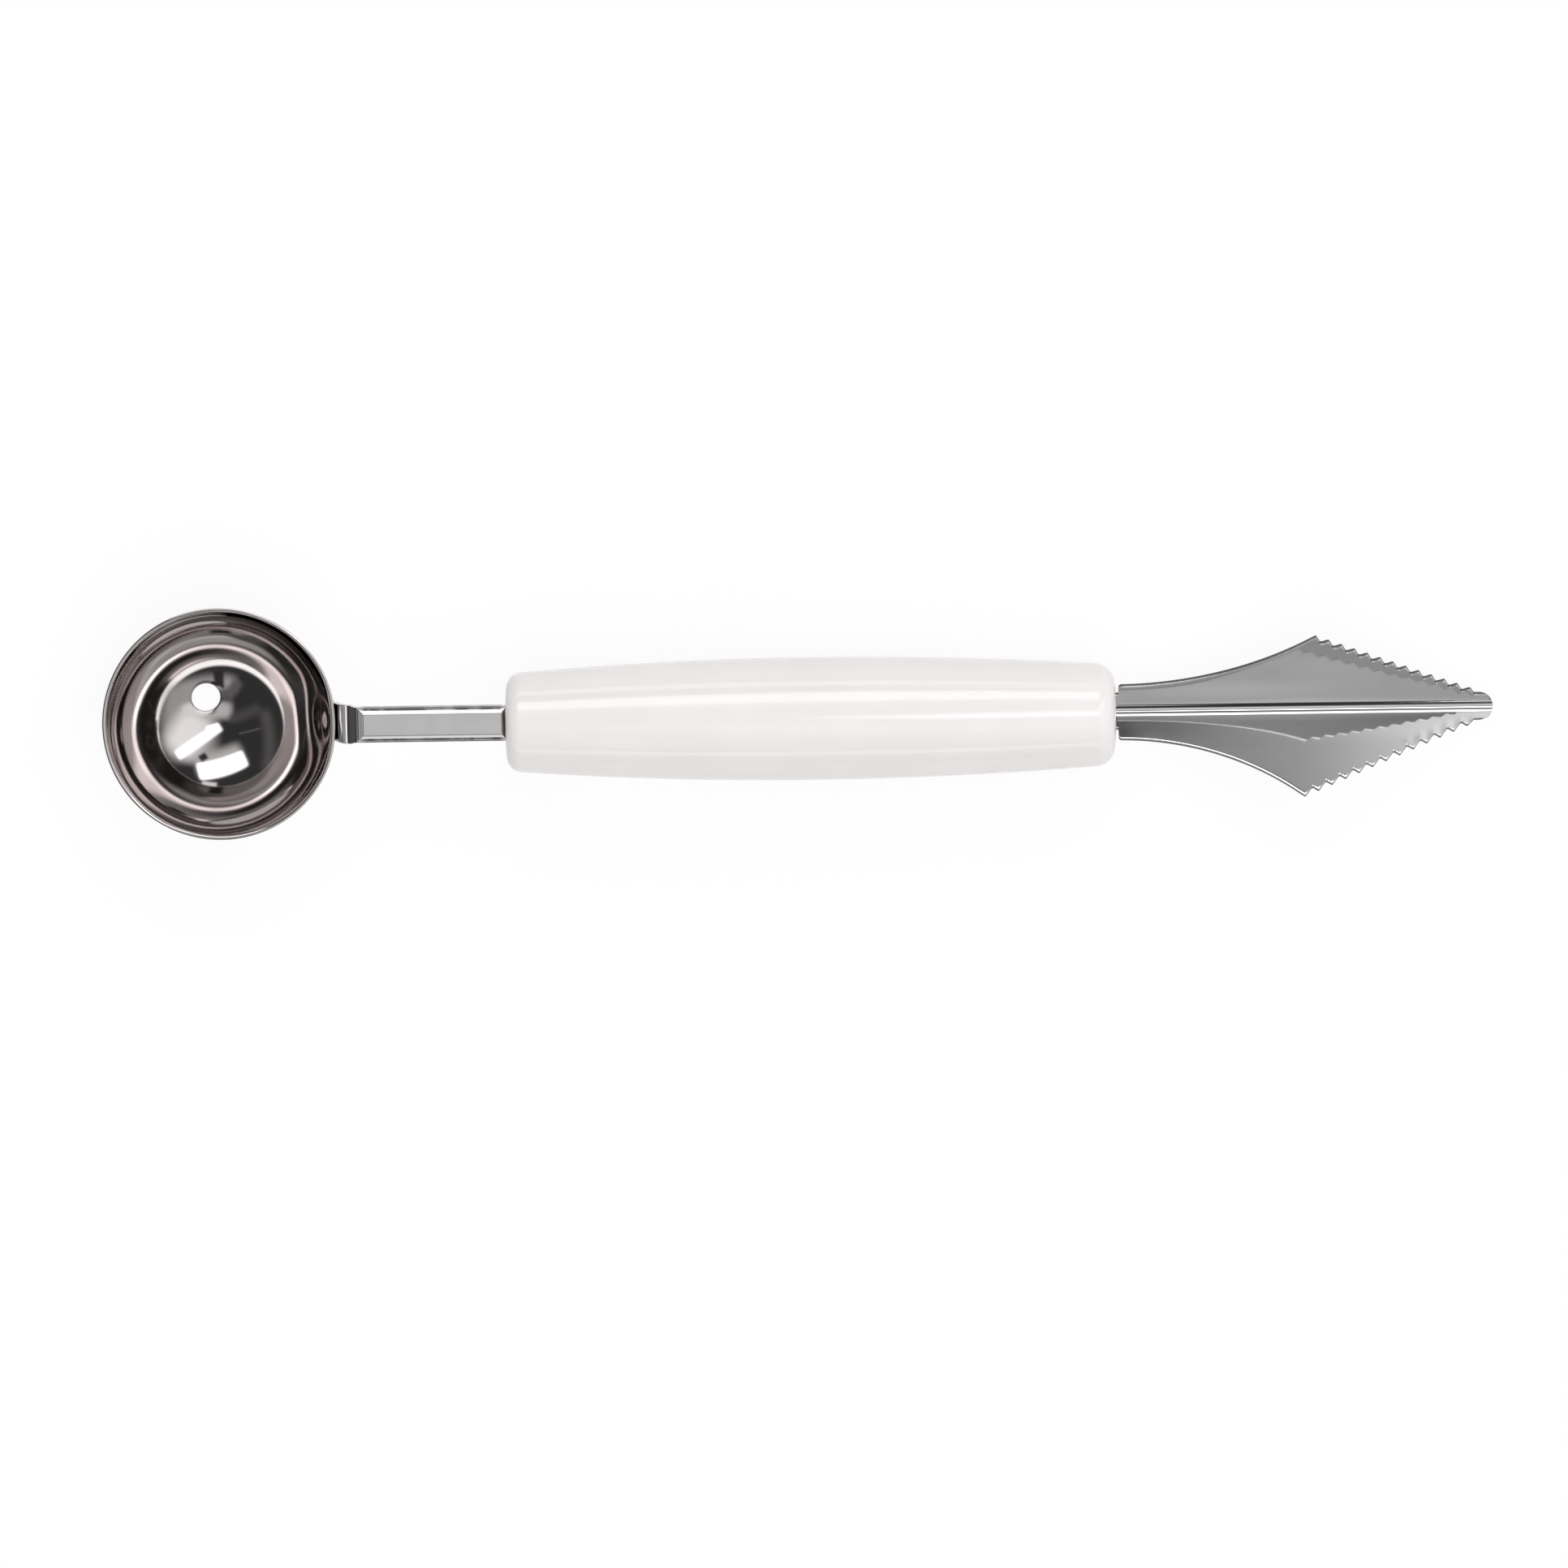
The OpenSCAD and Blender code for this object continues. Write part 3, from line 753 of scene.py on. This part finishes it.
def make_drawn_lines():
    """Fine lines that rolling or polishing leaves, as a height and as a mask"""
    group, given, ends = new_group("drawn_lines", {
        "Position": (0, 0, 0), "Stretch": (60.0, 2600.0, 2600.0), "Seed": 0.0,
    }, ("Height", "Mask"))
    stretched = vector_sum(group, "MULTIPLY", given["Position"], given["Stretch"])
    fine = noise(group, stretched, 1.0, 3.0, given["Seed"], Roughness=0.6)["Fac"]
    wider = vector_sum(group, "SCALE", stretched, scale=0.23)
    coarse = noise(group, wider, 1.0, 2.0, given["Seed"])["Fac"]
    feed(ends, "Height", plus(group, times(group, fine, 0.6), times(group, coarse, 0.4)))
    feed(ends, "Mask", ease(group, coarse, 0.35, 0.65))
    return group


def make_handling_marks():
    """Hair scratches in all directions and broad faint smears, as masks"""
    group, given, ends = new_group("handling_marks", {
        "Position": (0, 0, 0), "Scale": 120.0, "Seed": 0.0,
    }, ("Scratches", "Smears"))
    place, scale, seed = given["Position"], given["Scale"], given["Seed"]
    bent = noise(group, place, scale, 1.0, seed)
    spread = vector_sum(group, "SCALE", bent["Color"], scale=0.012)
    cells = add_node(group, "ShaderNodeTexVoronoi", {
        "Vector": vector_sum(group, "ADD", place, spread), "W": seed, "Scale": times(group, scale, 1.7),
    }, feature="DISTANCE_TO_EDGE", voronoi_dimensions="4D").outputs
    hair = ease(group, cells["Distance"], 0.0, 0.006, 1.0, 0.0)
    patch = ease(group, bent["Fac"], 0.45, 0.62)
    feed(ends, "Scratches", times(group, hair, patch))
    smear = noise(group, place, scale, 4.0, plus(group, seed, 5.0), Distortion=1.2)["Fac"]
    feed(ends, "Smears", ease(group, smear, 0.4, 0.7))
    return group


def empty_tree(owner):
    """Node tree of a material or the world, with nothing in it"""
    owner.use_nodes = True
    owner.node_tree.nodes.clear()
    return owner.node_tree


def new_material(name):
    """Material with an empty tree, its shader and the place on the piece"""
    material = bpy.data.materials.new(name)
    tree = empty_tree(material)
    shader = tree.nodes.new("ShaderNodeBsdfPrincipled")
    add_node(tree, "ShaderNodeOutputMaterial", {"Surface": shader.outputs[0]})
    return material, tree, shader, tree.nodes.new("ShaderNodeTexCoord").outputs["Object"]


def feed(node, name, value):
    """Links a value to an input of a node"""
    node.id_data.links.new(value, node.inputs[name])


def reopen(material):
    """Tree and shader of a finished material, and places on its piece, for more detail"""
    tree = material.node_tree
    shader = next(n for n in tree.nodes if n.type == "BSDF_PRINCIPLED")
    return tree, shader, tree.nodes.new("ShaderNodeTexCoord").outputs


def tint_over(tree, shader, share, tint):
    """Lays a tint over the shader's colour"""
    colour = shader.inputs["Base Color"].links[0].from_socket
    feed(shader, "Base Color", blend_colour(tree, share, colour, tint))


def blend_colour(tree, share, first, second):
    """Colour between two others"""
    made = add_node(tree, "ShaderNodeMix", {"Factor": share, 6: first, 7: second}, data_type="RGBA")
    return made.outputs[2]


def blend_level(tree, share, first, second):
    """Brightness between two others"""
    return add_node(tree, "ShaderNodeMix", {"Factor": share, 2: first, 3: second}).outputs[0]


def place_group(tree, group, inputs):
    """Puts a shared group in a material with its own values"""
    return add_node(tree, "ShaderNodeGroup", inputs, node_tree=group).outputs


def add_relief(tree, shader, height, strength, distance):
    """Bump from a height"""
    bump = add_node(tree, "ShaderNodeBump", {"Height": height, "Strength": strength, "Distance": distance})
    feed(shader, "Normal", bump.outputs[0])


def steel_material(name, tint, worn_tint, roughness, line_stretch, line_relief, mark_scale, seed):
    """Bare steel: two near tints, drawn lines, hair scratches and faint smears"""
    material, tree, shader, place = new_material(name)
    lines = place_group(tree, drawn_lines, {"Position": place, "Stretch": line_stretch, "Seed": seed})
    marks = place_group(tree, handling_marks, {"Position": place, "Scale": mark_scale, "Seed": seed})
    share = plus(tree, times(tree, marks["Smears"], 0.6), times(tree, lines["Mask"], 0.4))
    feed(shader, "Base Color", blend_colour(tree, share, tint, worn_tint))
    feed(shader, "Roughness", plus(
        tree, times(tree, marks["Smears"], 0.35 * roughness), times(tree, marks["Scratches"], 0.03),
        times(tree, lines["Mask"], 0.3 * roughness), roughness,
    ))
    shader.inputs["Metallic"].default_value = 1.0
    height = calculate(tree, "SUBTRACT", lines["Height"], times(tree, marks["Scratches"], 0.1))
    add_relief(tree, shader, height, 1.0, line_relief)
    return material


def make_punched_edge():
    """Masks of the blade's cut edges: Edge over the cut faces, Torn Shade over their lower, torn part with a
    ragged border, as two masks
    """
    group, given, ends = new_group("punched_edge", {
        "Position": (0, 0, 0), "Normal": (0, 0, 1), "Fold Height": 0.01,
        "Slope Sine": 0.6, "Slope Cosine": 0.8, "Thickness": 0.0006,
    }, ("Edge", "Torn Shade"))
    place, facing = apart(group, given["Position"]), apart(group, given["Normal"])

    def along_wing_normal(y, z):
        rise = times(group, z, given["Slope Cosine"])
        return calculate(group, "SUBTRACT", rise, times(group, y, given["Slope Sine"]))

    outward = times(group, facing["Y"], calculate(group, "SIGN", place["Y"]))
    square_on = calculate(group, "ABSOLUTE", along_wing_normal(outward, facing["Z"]))
    edge = ease(group, square_on, 0.45, 0.75, 1.0, 0.0)
    height = calculate(group, "SUBTRACT", place["Z"], given["Fold Height"])
    depth = along_wing_normal(calculate(group, "ABSOLUTE", place["Y"]), height)
    depth = calculate(group, "DIVIDE", depth, times(group, given["Thickness"], -1.0))
    ragged = noise(group, given["Position"], 2600.0, 2.0)["Fac"]
    depth = plus(group, depth, times(group, ragged, 0.3))
    feed(ends, "Edge", edge)
    feed(ends, "Torn Shade", times(group, edge, ease(group, depth, 0.42, 0.56)))
    return group


def paint_wall_shade(material):
    """Painted shade: the scoop's inside wall gets a darker, mottled tint from partway up, fading out just
    under the rim
    """
    tree, shader, places = reopen(material)
    place = places["Object"]
    height = apart(tree, place)["Z"]
    from_centre = vector_sum(tree, "DISTANCE", place, tuple(ball), output="Value")
    inside = calculate(tree, "LESS_THAN", from_centre, ball_r - BOWL_WALL / 2)
    painted_wall_shade = times(
        tree, ease(tree, height, *WALL_SHADE_HEIGHTS),
        ease(tree, height, *RIM_SHADE_FADE_HEIGHTS, 1.0, 0.0),
        ease(tree, noise(tree, place, 160.0, 3.0)["Fac"], 0.3, 0.7, 0.8, 1.0), inside,
    )
    # painted shade: a darker tint on the inside wall that stands in for the dark reflections there
    tint_over(tree, shader, painted_wall_shade, (0.34, 0.3, 0.295, 1))


def paint_rib_foot_shade(material):
    """Adds painted shade: a dark line in the foot of the pressed rib, and a darker tint over the flanges"""
    tree, shader, places = reopen(material)
    place = places["Object"]
    along, across = apart(tree, place)[:2]
    off = calculate(tree, "SUBTRACT", calculate(tree, "ABSOLUTE", across), RIB_W / 2 + RIB_SIDE)
    rib_foot_shade = ease(tree, calculate(tree, "ABSOLUTE", off), 0.08 * MM, 0.2 * MM, 1.0, 0.0)
    rib_foot_shade = calculate(tree, "MAXIMUM", rib_foot_shade, ease(tree, off, 0.0, 0.15 * MM, 0.0, 0.5))
    rib_foot_shade = times(
        tree, rib_foot_shade, ease(tree, along, bend_x, bend_x + MM),
        ease(tree, along, scoop_end_x - MM, scoop_end_x - 0.2 * MM, 1.0, 0.0),
        ease(tree, noise(tree, place, 700.0, 2.0)["Fac"], 0.3, 0.6, 0.6, 0.95),
    )
    # painted shade: near-black tint in the rib's foot crease, and half of it over the flanges beside the rib
    tint_over(tree, shader, rib_foot_shade, (0.07, 0.06, 0.06, 1))


def shade_punched_edges(material):
    """Adds painted shade to the blade's cut edges, a darker tint over them and a darker one still over their
    torn lower part, and makes them rougher
    """
    tree, shader, places = reopen(material)
    masks = place_group(tree, make_punched_edge(), {
        "Position": places["Object"], "Normal": places["Normal"],
        "Fold Height": fold_centre_z - FOLD_R / math.cos(WING_SLOPE), "Slope Sine": math.sin(WING_SLOPE),
        "Slope Cosine": math.cos(WING_SLOPE), "Thickness": BLADE_T,
    })
    # painted shade: the cut edges get a darker tint, and their torn lower part a much darker one; the added
    # roughness below is the edges' real finish
    tint_over(tree, shader, times(tree, masks["Edge"], 0.75), (0.4, 0.4, 0.4, 1))
    tint_over(tree, shader, masks["Torn Shade"], (0.13, 0.125, 0.12, 1))
    rough = shader.inputs["Roughness"].links[0].from_socket
    feed(shader, "Roughness", plus(
        tree, rough, times(tree, masks["Edge"], 0.08), times(tree, masks["Torn Shade"], 0.3),
    ))


def plastic_material():
    """Glossy off-white moulding: faint ripple of the mould, slight clouding and rare hair scratches"""
    material, tree, shader, place = new_material("offwhite_moulding")
    marks = place_group(tree, handling_marks, {"Position": place, "Scale": 60.0, "Seed": 3.0})
    share = ease(tree, noise(tree, place, 90.0, 3.0)["Fac"], 0.3, 0.7)
    feed(shader, "Base Color", blend_colour(tree, share, (0.83, 0.795, 0.793, 1), (0.855, 0.82, 0.82, 1)))
    feed(shader, "Roughness", plus(
        tree, times(tree, marks["Smears"], 0.05), times(tree, marks["Scratches"], 0.1), 0.05,
    ))
    shader.inputs["IOR"].default_value = 1.5
    ripple = noise(tree, place, 420.0, 1.0)["Fac"]
    height = calculate(tree, "SUBTRACT", ripple, times(tree, marks["Scratches"], 0.1))
    add_relief(tree, shader, height, 0.6, 0.004 * MM)
    return material


def adhesive_material():
    """Cured adhesive: cloudy amber with a matt skin"""
    material, tree, shader, place = new_material("cured_adhesive")
    cloud = noise(tree, place, 900.0, 4.0)["Fac"]
    feed(shader, "Base Color", blend_colour(tree, cloud, (0.55, 0.44, 0.26, 1), (0.76, 0.68, 0.5, 1)))
    feed(shader, "Roughness", ease(tree, cloud, 0.3, 0.7, 0.4, 0.6))
    add_relief(tree, shader, cloud, 0.8, 0.05 * MM)
    return material


FLOOR_GLOW = 0.88
FLOOR_REACH = 3.0
FLOOR_CLEARANCE = 0.02 * MM


def make_stage_floor(material):
    """Plain floor under the points that the tool rests on: the scoop's bottom and the blade's nose"""
    toward = Vector((nose_x, 0, blade_low.z)) - ball
    turn = math.atan2(toward.z, toward.x) + math.asin(ball_r / math.hypot(toward.x, toward.z))
    along = Vector((math.cos(turn), 0, math.sin(turn)))
    up = Vector((-math.sin(turn), 0, math.cos(turn)))
    centre = ball - up * (ball_r + FLOOR_CLEARANCE)
    across = Vector((0, FLOOR_REACH, 0))
    corners = [centre + along * a * FLOOR_REACH + across * b for a, b in ((-1, -1), (1, -1), (1, 1), (-1, 1))]
    mesh = bpy.data.meshes.new("studio_floor")
    mesh.from_pydata(corners, [], [(0, 1, 2, 3)])
    mesh.materials.append(material)
    floor = new_object("studio_floor", mesh)


def backdrop_rays(tree, *kinds):
    """One where a ray of one of these kinds meets the background"""
    light_path = tree.nodes.new("ShaderNodeLightPath").outputs
    seen = light_path["Is Camera Ray"]
    for kind in kinds:
        seen = calculate(tree, "MAXIMUM", seen, light_path[kind])
    return seen


def floor_material():
    """White floor: mostly an even white of its own, so that the object's shadow stays soft and light"""
    material = bpy.data.materials.new("white_floor")
    tree = empty_tree(material)
    paper = add_node(tree, "ShaderNodeBsdfDiffuse", {"Color": (0.8, 0.8, 0.8, 1)})
    thin_paper = add_node(tree, "ShaderNodeBsdfDiffuse", {"Color": (1 - FLOOR_GLOW,) * 3 + (1,)})
    glow = add_node(tree, "ShaderNodeEmission", {"Color": (1, 1, 1, 1), "Strength": FLOOR_GLOW})
    white = add_node(tree, "ShaderNodeAddShader", {0: thin_paper.outputs[0], 1: glow.outputs[0]})
    share = backdrop_rays(tree, "Is Glossy Ray", "Is Transmission Ray")
    mix = add_node(tree, "ShaderNodeMixShader", {0: share, 1: paper.outputs[0], 2: white.outputs[0]})
    add_node(tree, "ShaderNodeOutputMaterial", {"Surface": mix.outputs[0]})
    return material


# The photograph's view: where the camera stands, how far it is turned and where it aims
PICTURE_SIZE = 1932
PIXEL = 0.10474 * MM
TOOL_MIDDLE_PIXEL = (983.0, 885.5)
VIEW_DISTANCE = 1.0
VIEW_TOP = 0.156
PICTURE_TURN = math.radians(0.766)
SENSOR = 36.0

to_camera = Vector((0, VIEW_TOP, math.sqrt(1 - VIEW_TOP**2)))
level_right = Vector((1, 0, 0))
level_up = to_camera.cross(level_right)
picture_right = level_right * math.cos(PICTURE_TURN) - level_up * math.sin(PICTURE_TURN)
picture_up = to_camera.cross(picture_right)

right_gap = (TOOL_MIDDLE_PIXEL[0] - PICTURE_SIZE / 2) * PIXEL
down_gap = (TOOL_MIDDLE_PIXEL[1] - PICTURE_SIZE / 2) * PIXEL
aim = Vector((0, 0, axis_z)) - picture_right * right_gap + picture_up * down_gap
eye = aim + to_camera * VIEW_DISTANCE


def make_camera():
    """Camera at the photograph's angle, aimed so that the tool lies where the photograph has it"""
    data = bpy.data.cameras.new("camera")
    data.sensor_width = SENSOR
    data.lens = SENSOR * VIEW_DISTANCE / (PICTURE_SIZE * PIXEL)
    data.clip_start, data.clip_end = 0.05, 20.0
    camera = new_object("camera", data)
    turn = Matrix((picture_right, picture_up, to_camera)).transposed()
    camera.matrix_world = Matrix.Translation(eye) @ turn.to_4x4()
    bpy.context.scene.camera = camera


def make_light_card():
    """A soft-edged rectangle in the studio's sky, as a mask over directions"""
    group, given, ends = new_group("light_card", {
        "Direction": (0, 0, 1), "Centre": (0, 0, 1), "Along": (1, 0, 0),
        "Half Length": 0.5, "Half Width": 0.1, "Softness": 0.05,
    }, ("Mask",))
    facing = vector_sum(group, "DOT_PRODUCT", given["Direction"], given["Centre"], output="Value")
    across = vector_sum(group, "CROSS_PRODUCT", given["Centre"], given["Along"])
    mask = calculate(group, "GREATER_THAN", facing, 0.02)
    for axis, half in ((given["Along"], given["Half Length"]), (across, given["Half Width"])):
        offset = vector_sum(group, "DOT_PRODUCT", given["Direction"], axis, output="Value")
        offset = calculate(group, "ABSOLUTE", calculate(group, "DIVIDE", offset, facing))
        inner = calculate(group, "SUBTRACT", half, given["Softness"])
        outer = plus(group, half, given["Softness"])
        mask = times(group, mask, ease(group, offset, inner, outer, 1.0, 0.0))
    feed(ends, "Mask", mask)
    return group


def sky_direction(right, up):
    """Direction that the scoop mirrors this far from its middle, in shares of the ball's radius"""
    toward_eye = (eye - ball).normalized()
    sky_right = (picture_right - toward_eye * picture_right.dot(toward_eye)).normalized()
    sky_up = toward_eye.cross(sky_right)
    off = math.hypot(right, up)
    side = 2 * math.sqrt(1 - off**2)
    return (sky_right * right * side + sky_up * up * side + toward_eye * (1 - 2 * off**2)).normalized()


# Cards and flags of the studio: name, place in the sky (right, up), turn in degrees,
# half length, half width, softness and brightness
STUDIO = (
    ("back_window", (0.0, 0.57), 0, 0.50, 0.10, 0.03, 2.2),
    ("back_wall", (0.075, 0.506), 0, 0.11, 0.08, 0.03, 1.25),
    ("side_wall", (0.26, -0.05), 90, 0.75, 0.52, 0.22, 0.6),
    ("side_window", (0.26, 0.05), 60, 0.42, 0.32, 0.20, 1.5),
    ("near_wall", (0.13, -0.19), 10, 0.36, 0.11, 0.07, 1.3),
    ("middle_wall", (-0.01, -0.15), 0, 0.22, 0.14, 0.09, 0.85),
    ("far_wall", (0.10, -0.38), 0, 0.50, 0.14, 0.14, 0.6),
    ("camera_stand", (-0.01, -0.42), 0, 0.08, 0.17, 0.03, 0.05),
    ("left_gap", (-0.45, 0.10), 90, 0.50, 0.10, 0.12, 0.15),
    ("door", (-0.13, -0.33), 60, 0.20, 0.08, 0.07, 0.2),
    ("shelf", (-0.24, -0.12), 25, 0.30, 0.08, 0.08, 0.12),
    ("rail", (-0.28, 0.03), 12, 0.20, 0.012, 0.012, 0.2),
    ("lamp_haze", (-0.02, 0.30), 19, 0.42, 0.22, 0.12, 0.85),
    ("strip_light", (0.17, 0.12), 38, 0.50, 0.08, 0.05, 3.4),
    ("soft_box", (-0.04, 0.345), 19, 0.42, 0.155, 0.05, 4.2),
    ("lamp_stand", (0.125, 0.257), 40, 0.07, 0.06, 0.03, 0.05),
    ("camera_lamp", (0.045, 0.01), 15, 0.10, 0.06, 0.03, 5.0),
)
CEILING = 0.055
WINDOWS = 2.0
LOW_WALL = 0.45
HORIZON_TURN = math.radians(66.0)
HORIZON_SOFTNESS = 0.03
WINDOW_FOOT = 0.15
WINDOW_SILL = 0.08
FILL_POWER = 7.1
FILL_SIZE = 1.2
FILL_TURN = math.radians(27.0)
FILL_DISTANCE = 1.2


def make_studio():
    """Studio round the object: white horizon, dim ceiling, and the cards and lights on it"""
    world = bpy.data.worlds.new("studio")
    bpy.context.scene.world = world
    tree = empty_tree(world)
    direction = tree.nodes.new("ShaderNodeTexCoord").outputs["Generated"]
    height = vector_sum(tree, "DOT_PRODUCT", direction, tuple(to_camera), output="Value")
    edge = math.cos(HORIZON_TURN)
    windows = ease(tree, height, edge - HORIZON_SOFTNESS, edge + HORIZON_SOFTNESS, WINDOWS, CEILING)
    below = ease(tree, height, edge - WINDOW_FOOT, edge - WINDOW_SILL, 1.0, 0.0)
    level = blend_level(tree, below, windows, LOW_WALL)
    card = make_light_card()
    for name, spot, turn, half_length, half_width, softness, brightness in STUDIO:
        centre = sky_direction(*spot)
        right = (picture_right - centre * picture_right.dot(centre)).normalized()
        up = centre.cross(right)
        along = right * math.cos(math.radians(turn)) + up * math.sin(math.radians(turn))
        mask = place_group(tree, card, {
            "Direction": direction, "Centre": tuple(centre), "Along": tuple(along),
            "Half Length": half_length, "Half Width": half_width, "Softness": softness,
        })["Mask"]
        mask.node.label = name
        level = blend_level(tree, mask, level, brightness)
    studio = add_node(tree, "ShaderNodeBackground", {"Strength": level})
    backdrop = add_node(tree, "ShaderNodeBackground", {"Color": (1, 1, 1, 1), "Strength": 1.0})
    seen = backdrop_rays(tree, "Is Transmission Ray")
    mix = add_node(tree, "ShaderNodeMixShader", {0: seen, 1: studio.outputs[0], 2: backdrop.outputs[0]})
    add_node(tree, "ShaderNodeOutputWorld", {"Surface": mix.outputs[0]})


def make_fill_lamp():
    """Large soft lamp over the near side: lights matt surfaces evenly and stays out of the polished ones"""
    data = bpy.data.lights.new("fill_lamp", "AREA")
    data.shape = "SQUARE"
    data.size = FILL_SIZE
    data.energy = FILL_POWER
    lamp = new_object("fill_lamp", data)
    away = (to_camera * math.cos(FILL_TURN) - picture_up * math.sin(FILL_TURN)).normalized()
    turn = away.to_track_quat("Z", "Y").to_matrix().to_4x4()
    lamp.matrix_world = Matrix.Translation(away * FILL_DISTANCE) @ turn
    lamp.visible_glossy = False
    lamp.visible_camera = False


drawn_lines = make_drawn_lines()
handling_marks = make_handling_marks()
bowl_steel = steel_material(
    "polished_bowl_steel", (0.62, 0.59, 0.585, 1), (0.56, 0.53, 0.525, 1), 0.05,
    (500.0, 500.0, 900.0), 0.0002 * MM, 70.0, 1.0,
)
stem_steel = steel_material(
    "pressed_stem_steel", (0.72, 0.71, 0.71, 1), (0.67, 0.66, 0.66, 1), 0.08,
    (120.0, 1800.0, 1800.0), 0.0005 * MM, 150.0, 2.0,
)
blade_steel = steel_material(
    "rolled_blade_steel", (0.7, 0.7, 0.7, 1), (0.66, 0.66, 0.665, 1), 0.045,
    (60.0, 1600.0, 1600.0), 0.0003 * MM, 90.0, 4.0,
)
# painted shade on the scoop's inside wall, in the rib's foot and on the blade's cut edges
paint_wall_shade(bowl_steel)
paint_rib_foot_shade(stem_steel)
shade_punched_edges(blade_steel)
weld_steel = steel_material(
    "fused_weld_steel", (0.44, 0.42, 0.4, 1), (0.3, 0.27, 0.25, 1), 0.35,
    (900.0, 900.0, 900.0), 0.01 * MM, 300.0, 6.0,
)
moulding = plastic_material()
adhesive = adhesive_material()

def dress(piece, material):
    """Gives a piece this material alone"""
    piece.data.materials.clear()
    piece.data.materials.append(material)


dressed = (
    (make_bowl(), "scoop_bowl", "bowl_steel", bowl_steel),
    (make_stem(), "scoop_stem", "stem_steel", stem_steel),
    (make_handle(), "handle_grip", "handle_plastic", moulding),
    (make_blade(blade_steel), "v_blade", "blade_steel", blade_steel),
)
for piece, node, slot, material in dressed:
    dress(piece, material)
    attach(piece, "root")
    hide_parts(node)
for node, material in (("spot_welds", weld_steel), ("stem_adhesive", adhesive), ("blade_adhesive", adhesive)):
    dress(frame["nodes"][node], material)

make_stage_floor(floor_material())
make_fill_lamp()
make_studio()
make_camera()
bpy.context.scene.view_settings.view_transform = "Standard"
